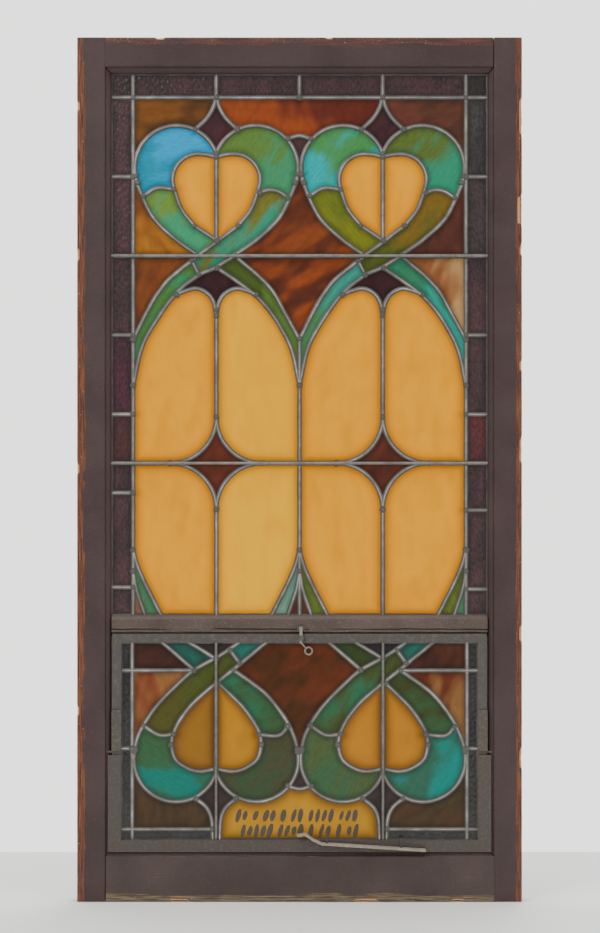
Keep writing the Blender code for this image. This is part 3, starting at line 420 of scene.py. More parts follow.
def upper_panel():
    """All cames of the fixed light."""
    paths = [[(side * 2 * MODULE, -3), (side * 2 * MODULE, TOP_LINE)] for side in (-1, 1)]
    paths += [[(-2 * MODULE, TOP_LINE), (2 * MODULE, TOP_LINE)], [(0, 580), (0, -3)]]
    paths += [[(x, TOP_LINE), (x, 1137)] for x in (-2 * MODULE, -MODULE, 0, MODULE, 2 * MODULE)]
    for side, low_pair in ((-1, (256.2, 58.1)), (1, (220, 54.1))):
        paths += [[(side * 397, z), (side * 2 * MODULE, z)]
                  for z in (TOP_LINE, 919.3, SADDLE_LINE, 587.1, 421, 318.5, *low_pair)]
        paths.append([(side * 2 * MODULE, SADDLE_LINE), (side * (MODULE + 42), SADDLE_LINE)])
    paths += [[(-MODULE + 42, SADDLE_LINE), (MODULE - 42, SADDLE_LINE)]]
    paths += [bend([(-24, 999), (0, 1006), (24, 999)]), [(-4, 925), (4, 925)]]
    for middle in HEARTS:
        paths += [[(x + middle, z) for x, z in path] for path in upper_heart()]
    return paths


def vent_heart():
    """The cames of one hanging heart in the vent, about its middle."""
    both_sides = [heart_lobe(167, False),
                  bend([(94.5, 198), (86, 168), (61, 149), (33.6, 142), (0, 148)]),
                  bend([(42, 85), (20.6, 67.5), (9.5, 42), (7, -3)])]
    return both_sides + [mirrored(path) for path in both_sides] + [
        bend([(52, VENT_TOP), (8, 384), (-46, 354), (-82, 323), (-113, 292),
              (-139, 260), (-163, 218), (-171.5, 183)]),
        bend([(108, VENT_TOP), (47, 364), (7, 332), (-43, 290), (-72.5, 255),
              (-89.5, 222), (-94.5, 198)]),
        bend([(-116, VENT_TOP), (-46, 354)]), bend([(-61, VENT_TOP), (0, 377)]),
        bend([(36, 354), (98, 309), (131.5, 271), (152, 239), (165, 209),
              (171.5, 183)]),
        bend([(5, 326), (47, 286), (71.4, 256), (90, 224), (94.5, 198)]),
        [(0, 328), (0, 146)], [(30, 394), (49, 368)],
        bend([(-152, 238), (-120, 218), (-90, 220)]),
        bend([(150, 236), (131.5, 217), (90, 219)])]


def vent_panel():
    """All cames of the vent's light."""
    paths = [bend([(-25, 112), (0, 105), (25, 112)]), [(-4, 183), (4, 183)]]
    for side, reach in ((-1, MODULE + 46), (1, MODULE + 38)):
        border = side * 350.5
        paths += [[(border, VENT_TOP), (border, -3)], [(side * 376, 353), (side * reach, 353)],
                  [(side * 376, 190), (border, 190)],
                  [(side * 376, 21.5), (side * (MODULE + 8), 21.5)]]
    for middle in HEARTS:
        paths += [[(x + middle, z) for x, z in path] for path in vent_heart()]
    return paths


class Light:
    """One leaded light: its lead lines on the window, its rim and where it stands."""

    def __init__(self, name, body, paths, drawn, low, high, cover, clear):
        self.name, self.body, self.cover, self.clear = name, body, cover, clear
        self.low, self.high = low, high
        self.scale = (high[0] - low[0]) / drawn[0], (high[1] - low[1]) / drawn[1]
        self.y = sum(corner[1] for corner in span(name + "_leads")) / 2
        self.paths = [np.array([self.real(p) for p in path]) for path in paths]

    def real(self, point):
        """A point of the drawing in the window's own (x, z)."""
        return point[0] * self.scale[0], self.low[1] + point[1] * self.scale[1]


sash_low, sash_high = span("vent_sash")
VENT_FACE = 18.5
UPPER_COVER, VENT_COVER, CLEAR = 9.4, 11.9, 3.0
UPPER_DRAWN, VENT_DRAWN = (788.0, 1134.0), (746.0, 411.5)
vent_low = -(span("vent_leads")[1][0] - VENT_COVER), sash_low[2] + VENT_FACE
vent_high = -vent_low[0], sash_high[2] - VENT_FACE
upper = Light("upper", "root", upper_panel(), UPPER_DRAWN, (-SIGHT_X, bar_high[2]), (SIGHT_X, TOP_SIGHT),
              UPPER_COVER, CLEAR)
vent = Light("vent", "vent", vent_panel(), VENT_DRAWN, vent_low, vent_high, VENT_COVER, CLEAR)


# Lead cames. Drawn lead of an H section, 9.5 mm wide over its two leaves, bent round the
# panes and soldered where lines meet. Grey oxide with a paler crown, part rubbing and part
# painted highlight, and darker at the leaves' edges where the cement sits, part oxide and part painted
# shade.
CAME_WIDTH = 9.5
HALF_CAME = 3.0
WEB = 1.6
CAME_STEP = 7.0
POOL_RADIUS, POOL_RISE = (5.4, 7.0), (0.35, 0.65)


def across_path(path):
    """The unit direction across a path at each point."""
    along = np.gradient(path, axis=0)
    along /= np.linalg.norm(along, axis=1)[:, None]
    return np.stack([-along[:, 1], along[:, 0]], axis=1)


def frames(path, step):
    """Even points on a path with the unit direction across it, as two arrays."""
    length = np.concatenate([[0], np.cumsum(np.linalg.norm(np.diff(path, axis=0), axis=1))])
    even = np.linspace(0, length[-1], max(2, int(length[-1] // step) + 1))
    points = np.stack([np.interp(even, length, path[:, i]) for i in (0, 1)], axis=1)
    return points, across_path(points)


def came(path, y, width, seed):
    """An H section carried along a path: leaves whose height falls as the square of the
    distance from the middle, joined by a web. Returns the grid and its crown."""
    points, across = frames(path, CAME_STEP)
    half = width / 2
    u = np.array([-1.0, -0.55, 0.0, 0.55, 1.0])
    dome = HALF_CAME - 1.05 * u**2
    inner = HALF_CAME - 1.25
    section_u = np.concatenate([u * half, [half, WEB / 2, WEB / 2, half], u[::-1] * half,
                                [-half, -WEB / 2, -WEB / 2, -half]])
    section_y = np.concatenate([-dome, [-inner, -inner, inner, inner], dome[::-1],
                                [inner, inner, -inner, -inner]])
    crown = np.concatenate([1 - np.abs(u), np.zeros(4), 1 - np.abs(u), np.zeros(4)])
    wobble = 0.22 * waves(points[:, 0], points[:, 1], seed, 70, 12)[:, None]
    bulge = 1 + 0.05 * waves(points[:, 1], points[:, 0], seed + 1, 40, 9)[:, None]
    side = section_u * bulge + wobble
    grid = np.stack([points[:, :1] + across[:, :1] * side,
                     y + section_y + 0.1 * waves(points[:, 0], points[:, 1], seed + 2, 30, 8)[:, None]
                     * np.sign(section_y),
                     points[:, 1:] + across[:, 1:] * side], axis=-1)
    return grid, crown + 0 * side


def rim_paths(light):
    """The four sides of the came round a panel's edge, and the width that it takes."""
    width = light.cover + light.clear
    inset = light.clear - width / 2
    x, z0, z1 = light.high[0] - inset, light.low[1] + inset, light.high[1] - inset
    corners = [(-x, z0), (x, z0), (x, z1), (-x, z1)]
    return [np.array([a, b], float) for a, b in zip(corners, corners[1:] + corners[:1])], width


def joints(paths, reach=5.0):
    """Where cames end: the path ends, with those closer together than reach made one."""
    kept = []
    for end in np.concatenate([[path[0], path[-1]] for path in paths]):
        if all(np.linalg.norm(end - other) > reach for other in kept):
            kept.append(end)
    return np.array(kept)


def solder(centre, y, side, seed):
    """A pool of solder: rings about a joint whose height falls as the square of the share
    of the radius, with a lobed edge, closed flat behind."""
    draw = np.random.default_rng(seed)
    radius = draw.uniform(*POOL_RADIUS)
    turn = np.linspace(0, 2 * np.pi, 18, endpoint=False)
    lobes = 1 + sum(draw.uniform(-0.09, 0.09) * np.cos(k * turn + draw.uniform(0, 6)) for k in (2, 3, 4, 5))
    share = np.array([0.05, 0.35, 0.62, 0.84, 0.97, 1.0])[:, None]
    rise = draw.uniform(*POOL_RISE) * (1 - share**2.4) + 0.05
    rise[-1] = -1.0
    reach = radius * share * lobes
    return np.stack([centre[0] + reach * np.cos(turn), y + side * (HALF_CAME + rise) + 0 * reach,
                     centre[1] + reach * np.sin(turn)], axis=-1), 0.4 + 0.6 * (1 - share) + 0 * reach


def drawn_lead(name, shade, mid, rubbed_crown_and_highlight):
    """Weathered drawn lead: a soft dull metal, grey-brown oxide in the hollows, darkened further by painted
    shade at the leaves' edges, and a paler, smoother crown where it has been rubbed, paled further by a
    painted highlight."""
    material, tree, shader = new_material(name)
    crown = add(tree, "Attribute", attribute_name="crown").outputs["Fac"]
    place = add(tree, "TexCoord").outputs["Object"]
    # Oxide patches about 50 mm across, and scratches and pits under 2 mm.
    patch = add(tree, "TexNoise", {"Vector": place, "Scale": 20.0, "Detail": 7.0, "Roughness": 0.66})
    pit = add(tree, "TexNoise", {"Vector": place, "Scale": 420.0, "Detail": 5.0, "Roughness": 0.7})
    rub = add(tree, "Math", {0: crown, 1: patch}, operation="ADD")
    # oxide and painted shade: the colour falls from mid to the darkest towards the leaves' edges
    low = add(tree, "MapRange", {0: rub, 1: 0.55, 2: 1.3})
    # rubbing and painted highlight: the crown goes pale
    high = add(tree, "MapRange", {0: rub, 1: 1.34, 2: 1.68})
    base = add(tree, "Mix", {0: low, 6: linear(shade), 7: linear(mid)}, data_type="RGBA")
    tint = add(tree, "Mix", {0: high, 6: base.outputs[2], 7: linear(rubbed_crown_and_highlight)}, data_type="RGBA")
    rough = add(tree, "MapRange", {0: patch, 1: 0.3, 2: 0.7, 3: 0.6, 4: 0.36})
    bump = add(tree, "Bump", {"Strength": 0.5, "Distance": 0.0004, "Height": pit})
    connect(shader, {"Base Color": tint.outputs[2], "Roughness": rough, "Normal": bump, "Metallic": 0.35})
    return material


# The darkest colour is oxide and painted shade at the leaves' edges, the palest a rubbed crown and painted
# highlight; the solder pools go paler toward their middle in the same way.
lead = drawn_lead("weathered_drawn_lead", "#3E3C39", "#787570", "#E6E2D8")
solder_metal = drawn_lead("old_solder", "#42423E", "#5C5B56", "#8A8880")

for light in (upper, vent):
    rim, rim_width = rim_paths(light)
    sections = [came(path, light.y, CAME_WIDTH, 100 + i) for i, path in enumerate(light.paths)]
    sections += [came(path, light.y, rim_width, 400 + i) for i, path in enumerate(rim)]
    mesh = shells(light.name + "_cames", [grid for grid, _ in sections], crown=[c for _, c in sections])
    fit(light.name + "_cames", mesh, lead, light.body, "lead", light.name + "_leads", angle=50)
    pools = [solder(centre, light.y, side, 700 + 2 * i + (side > 0))
             for i, centre in enumerate(joints(light.paths)) for side in (-1, 1)
             if abs(centre[0]) < light.high[0] and light.low[1] < centre[1] < light.high[1]]
    mesh = shells(light.name + "_solder", [grid for grid, _ in pools], crown=[c for _, c in pools])
    fit(light.name + "_solder", mesh, solder_metal, light.body, "lead", angle=60)


# Panes. About 110 pieces of coloured glass, 3 mm thick, cut to the drawing and held in
# the cames. Opalescent amber, streaky green and blue, wispy rust and brown, and hammered
# purple and smoke in the borders. Each pane is its own piece with its own wave.
GLASS = 3.0
CELL = 5.0
HAMMERED_CELL = 3.0
UNDER_LEAF = 5.2
# painted shade: the share of its colour that glass keeps right beside the came
CAME_SHADE = 0.66
# painted shade: amber panes turn to their second, deeper colour over this many millimetres towards the edge
AMBER_SHADED_RIM = 34.0
SMALLEST_PANE = 60.0
SCATTER = 400


def ribbon(path, width):
    """The closed outline of a strip of the given width along a path."""
    across = across_path(path) * width / 2
    return np.vstack([path + across, (path - across)[::-1]])


def inside(points, outline):
    """Which points lie inside a closed outline, by counting crossings."""
    x, z = points[:, 0:1], points[:, 1:2]
    ax, az = outline.T
    bx, bz = np.roll(ax, -1), np.roll(az, -1)
    rise = np.where(bz == az, 1e-12, bz - az)
    crossing = ((az > z) != (bz > z)) & (x < (bx - ax) * (z - az) / rise + ax)
    return crossing.sum(axis=1) % 2 == 1


def triangulated(points, edges):
    """A constrained Delaunay triangulation, turned anticlockwise in (x, z)."""
    vertices, _, faces, _, _, _ = geometry.delaunay_2d_cdt([Vector(p) for p in points], edges, [], 0, 0.01)
    vertices = np.array([tuple(v) for v in vertices])
    faces = np.array([face for face in faces if len(face) == 3])
    a, b, c = (vertices[faces[:, i]] for i in range(3))
    turn = (b[:, 0] - a[:, 0]) * (c[:, 1] - a[:, 1]) - (b[:, 1] - a[:, 1]) * (c[:, 0] - a[:, 0])
    faces[turn < 0] = faces[turn < 0][:, ::-1]
    return vertices, faces[np.abs(turn) > 1e-6]


def longer(path, reach):
    """A path with its two ends drawn out straight by reach."""
    ends = [path[i] + (path[i] - path[j]) / np.linalg.norm(path[i] - path[j]) * reach
            for i, j in ((0, 1), (-1, -2))]
    return np.vstack([ends[0], path, ends[1]])


def pane_outlines(light):
    """The closed outline of every pane: the panel is divided by strips as wide as a web
    with its slack, and what hangs together between them is one pane."""
    rim_inner = light.cover + light.clear - CAME_WIDTH / 2
    (x0, z0), (x1, z1) = [[v - light.cover for v in light.low], [v + light.cover for v in light.high]]
    bars = [(x0, z0, x1, z0 + rim_inner), (x0, z1 - rim_inner, x1, z1),
            (x0, z0, x0 + rim_inner, z1), (x1 - rim_inner, z0, x1, z1)]
    walls = [ribbon(longer(frames(path, CURVE_STEP)[0], UNDER_LEAF), WEB + 0.8) for path in light.paths]
    walls += [np.array([(a, b), (c, b), (c, d), (a, d)]) for a, b, c, d in bars]
    starts = np.cumsum([0] + [len(wall) for wall in walls])
    edges = [(int(s) + i, int(s) + (i + 1) % len(w)) for s, w in zip(starts, walls) for i in range(len(w))]
    vertices, faces = triangulated(np.concatenate(walls), edges)
    middles = vertices[faces].mean(axis=1)
    open_face = ~np.any([inside(middles, wall) for wall in walls], axis=0)
    owner = {(int(f[i]), int(f[(i + 1) % 3])): k for k, f in enumerate(faces) if open_face[k]
             for i in range(3)}
    outlines = []
    waiting = set(owner.values())
    while waiting:
        stack, follow = [waiting.pop()], {}
        while stack:
            f = [int(i) for i in faces[stack.pop()]]
            for a, b in zip(f, f[1:] + f[:1]):
                other = owner.get((b, a))
                if other is None:
                    follow[a] = b
                elif other in waiting:
                    waiting.remove(other)
                    stack.append(other)
        loop = [next(iter(follow))]
        while follow[loop[-1]] != loop[0]:
            loop.append(follow[loop[-1]])
        outline = vertices[loop]
        area = abs(np.cross(outline, np.roll(outline, -1, axis=0)).sum()) / 2
        if area > SMALLEST_PANE:
            outlines.append(outline)
    return outlines


def edge_distance(points, outline):
    """How far each point lies from the nearest side of a closed outline."""
    start = outline[None]
    side = np.roll(outline, -1, axis=0)[None] - start
    to_point = points[:, None] - start
    share = np.clip((to_point * side).sum(-1) / np.maximum((side**2).sum(-1), 1e-9), 0, 1)
    return np.linalg.norm(to_point - share[..., None] * side, axis=-1).min(axis=1)


def along_sheet(x, z, angle):
    """Distance along and across a sheet whose streaks run at the given degrees from +x."""
    turn = math.radians(angle)
    return x * math.cos(turn) + z * math.sin(turn), z * math.cos(turn) - x * math.sin(turn)


def pane_mesh(name, outline, y, cell, wave, tint_at, angle):
    """A pane: its outline and a grid of points inside it, triangulated, in front and
    behind, with a wall between. wave(x, z, depth) moves the surfaces, where depth is the
    distance from the pane's edge, and tint_at gives the colour in the same way."""
    low, high = outline.min(axis=0), outline.max(axis=0)
    gx, gz = np.meshgrid(np.arange(low[0], high[0], cell), np.arange(low[1], high[1], cell))
    gx = gx + (np.arange(len(gx)) % 2)[:, None] * cell / 2
    grid = np.stack([gx.ravel(), gz.ravel()], axis=1)
    grid = grid[inside(grid, outline)]
    grid = grid[edge_distance(grid, outline) > cell * 0.45] if len(grid) else grid
    count = len(outline)
    edges = [(i, (i + 1) % count) for i in range(count)]
    vertices, faces = triangulated(np.concatenate([outline, grid]), edges)
    faces = faces[inside(vertices[faces].mean(axis=1), outline)]
    x, z = vertices.T
    depth = edge_distance(vertices, outline)
    total = len(vertices)
    front = np.stack([x, y - GLASS / 2 - wave(x, z, depth), z], axis=1)
    back = np.stack([x, y + GLASS / 2 + wave(x + 400, z, depth) * 0.5, z], axis=1)
    sides = np.concatenate([faces[:, [0, 1]], faces[:, [1, 2]], faces[:, [2, 0]]])
    keys = sides[:, 0] * total + sides[:, 1]
    rim = sides[~np.isin(sides[:, 1] * total + sides[:, 0], keys)]
    walls = np.stack([rim[:, 0], rim[:, 0] + total, rim[:, 1] + total, rim[:, 1]], axis=1)
    mesh = bpy.data.meshes.new(name)
    mesh.from_pydata(np.concatenate([front, back]) * MM, [],
                     faces.tolist() + (faces[:, ::-1] + total).tolist() + walls.tolist())
    sheet = np.stack([*along_sheet(x, z, angle), 0 * x], axis=1)
    tint = np.concatenate([tint_at(x, z, depth), np.ones((total, 1))], axis=1)
    put_fields(mesh, {"sheet": np.tile(sheet, (2, 1)), "tint": np.tile(tint, (2, 1))})
    return mesh


def art_glass(name, streak, streak_size, bump, grit, roughness, gloss):
    """Rolled art glass: glossy, milky, coloured through. Its tint comes from the pane;
    streaks of streak_size (along, across) in millimetres lighten and darken it."""
    material, tree, shader = new_material(name)
    tint = add(tree, "Attribute", attribute_name="tint").outputs["Color"]
    sheet = add(tree, "Attribute", attribute_name="sheet").outputs["Vector"]
    scale = (1 / streak_size[0], 1 / streak_size[1], 1)
    drawn = add(tree, "Mapping", {"Vector": sheet, "Scale": scale})
    band = add(tree, "TexNoise", {"Vector": drawn, "Scale": 1.0, "Detail": 4.0,
                                  "Roughness": 0.5, "Distortion": 0.3})
    value = add(tree, "MapRange", {0: band, 1: 0.25, 2: 0.75, 3: 1 - streak, 4: 1 + streak})
    colour = add(tree, "VectorMath", {0: tint, 1: value}, operation="MULTIPLY")
    place = add(tree, "TexCoord").outputs["Object"]
    ripple = add(tree, "TexNoise", {"Vector": place, "Scale": 1000 / grit, "Detail": 3.0, "Roughness": 0.5})
    swell = add(tree, "Bump", {"Strength": bump, "Distance": 0.001, "Height": ripple})
    connect(shader, {"Base Color": colour, "Normal": swell, "Roughness": roughness, "IOR": 1.52,
                     "Specular IOR Level": gloss})
    return material


amber_glass = art_glass("opalescent_amber_glass", 0.05, (60, 30), 0.10, 9, 0.36, 0.18)
streaky_glass = art_glass("streaky_green_glass", 0.15, (15, 4.5), 0.16, 7, 0.34, 0.2)
wispy_glass = art_glass("wispy_rust_glass", 0.20, (30, 15), 0.16, 8, 0.36, 0.2)
hammered_glass = art_glass("hammered_purple_glass", 0.45, (9, 5), 0.45, 5, 0.25, 0.45)

# For amber, the second colour is also the painted shade towards a pane's edge.
FAMILY = {
    "amber_glass": (amber_glass, "#FAA600", "#E69000", 90),
    "blue_glass": (streaky_glass, "#00A2CE", "#108CA0", 10),
    "teal_glass": (streaky_glass, "#2C9A88", "#3E8A5A", 40),
    "green_glass": (streaky_glass, "#4C8A5A", "#3A9270", 50),
    "rust_glass": (wispy_glass, "#7A3A16", "#A8561C", 70),
    "brown_glass": (wispy_glass, "#4E2A1C", "#5E3220", 60),
    "purple_glass": (hammered_glass, "#3E2E31", "#4C3438", 90),
    "smoke_glass": (hammered_glass, "#242322", "#323130", 90),
}


STREAK_LENGTH, STREAK_WIDTH = 80.0, 34.0
# painted shade beside the came: full nearer than the first distance, gone past the second, in millimetres
CAME_SHADE_REACH = (4.0, 15.0)


def pane_tint(seed, rim, first, second, angle, lean=(0.0, 0.0)):
    """Colour over a pane: from first to second along broad streaks, with a lean that adds
    to the streaks' level per 100 mm of x and z, and the second colour coming in over the
    last rim millimetres towards the edge as painted shade. Painted shade also darkens the glass beside the
    came."""
    a, b = np.array(linear(first)[:3]), np.array(linear(second)[:3])

    def tint_at(x, z, depth):
        u, v = along_sheet(x, z, angle)
        level = 0.5 + 0.55 * waves(u / STREAK_LENGTH * 40, v / STREAK_WIDTH * 40, seed, 110, 24)
        level = level + lean[0] * (x - x.mean()) / 100 + lean[1] * (z - z.mean()) / 100
        # painted shade: on amber, the deeper second colour comes in towards the pane's edge
        if rim:
            level = np.maximum(level * 0.45, 1 - depth / rim)
        # painted shade: the glass darkens beside the came
        grime = CAME_SHADE + (1 - CAME_SHADE) * smoothstep(*CAME_SHADE_REACH, depth)
        return (a + smoothstep(0.1, 0.9, level)[:, None] * (b - a)) * grime[:, None]

    return tint_at


def calm_wave(seed):
    """The long low swell of rolled sheet, gone at the pane's edge."""
    return lambda x, z, depth: 0.22 * waves(x, z, seed, 60, 14) * smoothstep(3, 12, depth)


def hammered_wave(seed):
    """Close round dents, about 8 mm apart and longer upright, gone at the pane's edge."""
    return lambda x, z, depth: 0.62 * waves(x * 1.25, z * 0.8, seed, 12, 6.5, 14) * smoothstep(3, 7, depth)


# Panes that aren't their family's colour, by glass: x, z on the drawing, two colours, the way
# the streaks run in degrees and, where the colours lean from side to side, how.
LEFT, RIGHT = HEARTS
UPPER_PANES = [
    (amber_glass, [
        (-88, 500, "#FCB206", "#EC9C00", 90, (0.0, 0.1)), (-88, 200, "#FFB80E", "#F4A400", 90, (0.0, 0.2)),
    ]),
    (wispy_glass, [
        (-300, 1055, "#76471C", "#56371A", 0, (0.0, -0.8)),
        (-90, 1060, "#602C1C", "#94441C", 88, (0.6, 0.0)), (60, 1060, "#8E421C", "#5E281C", 84, (0.5, 0.3)),
        (300, 1055, "#4E3226", "#66382A", 20, (-0.3, 0.0)), (LEFT, 1015, "#38222A", "#46282C", 60),
        (RIGHT, 1015, "#38222A", "#46282C", 60), (0, 975, "#463230", "#4C3836", 60),
        (-338, 800, "#7A451E", "#A6681E", 130, (0.4, -0.9)),
        (-338, 700, "#66361E", "#7C441E", 75, (0.0, 0.3)), (0, 820, "#5A2C1A", "#82401C", 35, (0.0, -0.5)),
        (0, 700, "#52281A", "#88401C", 35, (0.2, 0.1)), (338, 800, "#482A24", "#583024", 80),
        (338, 700, "#BA905A", "#8A5430", 75, (-0.8, 0.2)), (LEFT, 680, "#3C2024", "#341C20", 60),
        (RIGHT, 680, "#3C2024", "#341C20", 60), (LEFT, 300, "#562A20", "#622E22", 60),
        (RIGHT, 300, "#4E261E", "#5A2C24", 60), (LEFT, 345, "#5A2C1E", "#642E20", 60),
        (RIGHT, 345, "#50281E", "#5C2E20", 60), (-10, 30, "#5E3428", "#6A3A28", 80),
        (10, 30, "#5E3428", "#6A3A28", 80), (-344, 8, "#8A5A44", "#9A6A50", 80),
    ]),
    (hammered_glass, [
        (-373, 370, "#4A2C2C", "#402A2C", 90), (373, 370, "#5A2C2C", "#4A2A30", 90),
        (373, 1000, "#322F2E", "#403A3A", 90), (373, 840, "#3A3032", "#443638", 90),
        (373, 1110, "#2E2C2A", "#38322F", 90), (-373, 480, "#4C2A34", "#402830", 90),
    ]),
    (streaky_glass, [
        (LEFT - 132, 950, "#009ED2", "#0088A4", 8, (-0.3, -0.5)),
        (LEFT + 132, 950, "#3C8A5E", "#587A36", 55, (-0.9, 0.5)),
        (LEFT - 112, 825, "#389468", "#688A36", 60, (0.0, 0.3)),
        (LEFT + 112, 825, "#328C6E", "#6C6C2A", 48, (-0.6, 0.8)),
        (LEFT - 100, 690, "#4C7834", "#3A8456", 48, (0.0, -0.4)),
        (LEFT + 100, 690, "#587A34", "#465822", 130, (-0.5, 0.6)),
        (RIGHT - 132, 950, "#0AA6A4", "#44884A", 50, (0.2, 0.9)),
        (RIGHT + 132, 950, "#2A8A68", "#56682E", 40, (-0.6, 1.0)),
        (RIGHT - 112, 825, "#5E6A1E", "#727620", 130, (0.2, 0.0)),
        (RIGHT + 112, 825, "#525A22", "#745C20", 48, (0.3, 0.6)),
        (RIGHT - 100, 690, "#34927F", "#4A8450", 48, (-0.2, -0.7)),
        (RIGHT + 100, 690, "#2AA08C", "#2E7A58", 130, (-0.8, 0.9)),
        (-320.6, 30, "#5E8A6A", "#467A50", 70, (0.0, 0.5)),
        (-28.6, 30, "#749C88", "#52826A", 70, (0.0, 0.4)),
        (28.6, 30, "#6A7A30", "#5A6A28", 110, (0.0, 0.4)),
        (320.6, 30, "#667628", "#546226", 110, (0.0, 0.4)),
    ]),
]
# The vent's panes carry deeper colours than the same glass in the upper light: painted shade, for the lesser
# light coming through them.
SHADED_VENT_PANES = [
    (amber_glass, [
        (LEFT - 40, 200, "#94681C", "#80541C", 90), (LEFT + 40, 200, "#C08214", "#9E6A18", 90),
        (RIGHT - 40, 200, "#BC7C18", "#9A6420", 90), (RIGHT + 40, 200, "#BC7C18", "#986418", 90),
        (0, 60, "#C08A1C", "#96681A", 90),
    ]),
    (wispy_glass, [
        (-300, 385, "#382018", "#42261C", 20), (300, 385, "#3A2018", "#502C1C", 80, (0.5, 0.0)),
        (-310, 300, "#8E5E34", "#743820", 90, (-0.6, 0.0)),
        (310, 300, "#602B16", "#845C32", 75, (0.6, -0.9)), (0, 300, "#46280F", "#5E2C14", 42, (0.1, 0.2)),
        (-300, 60, "#423320", "#4C3824", 88), (300, 60, "#4A3420", "#3E3420", 30),
        (0, 125, "#423034", "#392C30", 60), (LEFT, 60, "#382C2C", "#403434", 60),
        (RIGHT, 60, "#382C2C", "#403434", 60), (LEFT, 403, "#342A2A", "#3A3132", 40),
        (RIGHT, 403, "#342A2A", "#3A3132", 40),
    ]),
    (streaky_glass, [
        (LEFT - 110, 280, "#4E4C1E", "#46501F", 45, (0.4, 0.4)),
        (LEFT - 132, 170, "#0A7466", "#365C3A", 150, (0.3, 0.9)),
        (LEFT + 110, 280, "#2A6648", "#38522F", 20),
        (LEFT + 132, 170, "#384C32", "#46442C", 45, (0.0, 0.2)),
        (LEFT - 57, 392, "#245A50", "#244C42", 130), (LEFT + 66, 395, "#246E60", "#265E52", 40),
        (RIGHT - 110, 280, "#2E6646", "#424C24", 60, (0.3, 0.0)),
        (RIGHT - 132, 170, "#3A5E3E", "#485A34", 60, (0.0, 0.2)),
        (RIGHT + 110, 280, "#3A4220", "#335634", 20, (0.0, -0.2)),
        (RIGHT + 132, 170, "#0E7E74", "#2E604C", 45, (-0.9, 0.3)),
        (RIGHT - 57, 392, "#36421E", "#2E4A28", 130), (RIGHT + 66, 395, "#24665A", "#24564C", 40),
    ]),
]

slot_of = {part["node"]: part["material_slot"] for part in frame["record"]["subparts"]}
glass_faces = {}
for name, slot in slot_of.items():
    if slot.endswith("_glass"):
        data = frame["nodes"][name].data
        corners = np.empty(len(data.vertices) * 3, np.float32)
        data.vertices.foreach_get("co", corners)
        triangles = np.empty(len(data.polygons) * 3, np.int32)
        data.polygons.foreach_get("vertices", triangles)
        glass_faces[name] = corners.reshape(-1, 3)[:, [0, 2]][triangles.reshape(-1, 3)] / MM


def node_behind(points):
    """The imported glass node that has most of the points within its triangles."""
    best, most = None, 0
    for name, faces in glass_faces.items():
        a, b, c = faces[None, :, 0], faces[None, :, 1], faces[None, :, 2]
        p = points[:, None]
        turns = [(q - o)[..., 0] * (p - o)[..., 1] - (q - o)[..., 1] * (p - o)[..., 0]
                 for o, q in ((a, b), (b, c), (c, a))]
        held = (np.all([t > 0 for t in turns], axis=0) | np.all([t < 0 for t in turns], axis=0))
        count = held.any(axis=1).sum()
        if count > most:
            best, most = name, count
    return best


pane_counts = {}
for light, special in ((upper, UPPER_PANES), (vent, SHADED_VENT_PANES)):
    for index, outline in enumerate(pane_outlines(light)):
        low, high = outline.min(axis=0), outline.max(axis=0)
        scatter = np.random.default_rng(index).uniform(low, high, (SCATTER, 2))
        node = node_behind(scatter[inside(scatter, outline)])
        if node is None:
            continue
        slot = slot_of[node]
        material, *look = FAMILY[slot]
        for glass, rows in special:
            for x, z, *row in rows:
                if inside(np.array([light.real((x, z))]), outline)[0]:
                    material, look = glass, row
        seed = 1000 + index * 3 + (light is vent) * 500
        hammered = material is hammered_glass
        tint = pane_tint(seed, AMBER_SHADED_RIM * (material is amber_glass), *look)
        pane_counts[node] = pane_counts.get(node, 0) + 1
        piece = f"{node}_pane_{pane_counts[node]}"
        mesh = pane_mesh(piece, outline, light.y, HAMMERED_CELL if hammered else CELL,
                         (hammered_wave if hammered else calm_wave)(seed), tint, look[2])
        fit(piece, mesh, material, light.body, slot, node, angle=60)


# Steel. Saddle bars and upright bars of round steel, the pivoted vent of angle bar in its
# frame, and the lower flange, all rolled, once painted and now dull with rust and dust.
def rolled_steel(name, bare, rust, dust, amount, metallic):
    """Old rolled steel: dark mill skin, matt rust blooms and pale dust in the pits."""
    material, tree, shader = new_material(name)
    place = add(tree, "TexCoord").outputs["Object"]
    # Rust blooms about 30 mm across, dust patches about 7 mm.
    bloom = add(tree, "TexNoise", {"Vector": place, "Scale": 32.0, "Detail": 8.0, "Roughness": 0.65})
    speck = add(tree, "TexNoise", {"Vector": place, "Scale": 150.0, "Detail": 6.0, "Roughness": 0.66})
    spread = add(tree, "MapRange", {0: bloom, 1: 0.42, 2: 0.66})
    base = add(tree, "Mix", {0: spread, 6: linear(bare), 7: linear(rust)}, data_type="RGBA")
    dusty = add(tree, "MapRange", {0: speck, 1: 0.5, 2: 0.7, 4: amount})
    final = add(tree, "Mix", {0: dusty, 6: base.outputs[2], 7: linear(dust)}, data_type="RGBA")
    rough = add(tree, "MapRange", {0: bloom, 1: 0.3, 2: 0.7, 3: 0.42, 4: 0.75})
    bump = add(tree, "Bump", {"Strength": 0.5, "Distance": 0.0005, "Height": speck})
    connect(shader, {"Base Color": final.outputs[2], "Roughness": rough, "Normal": bump,
                     "Metallic": metallic})
    return material


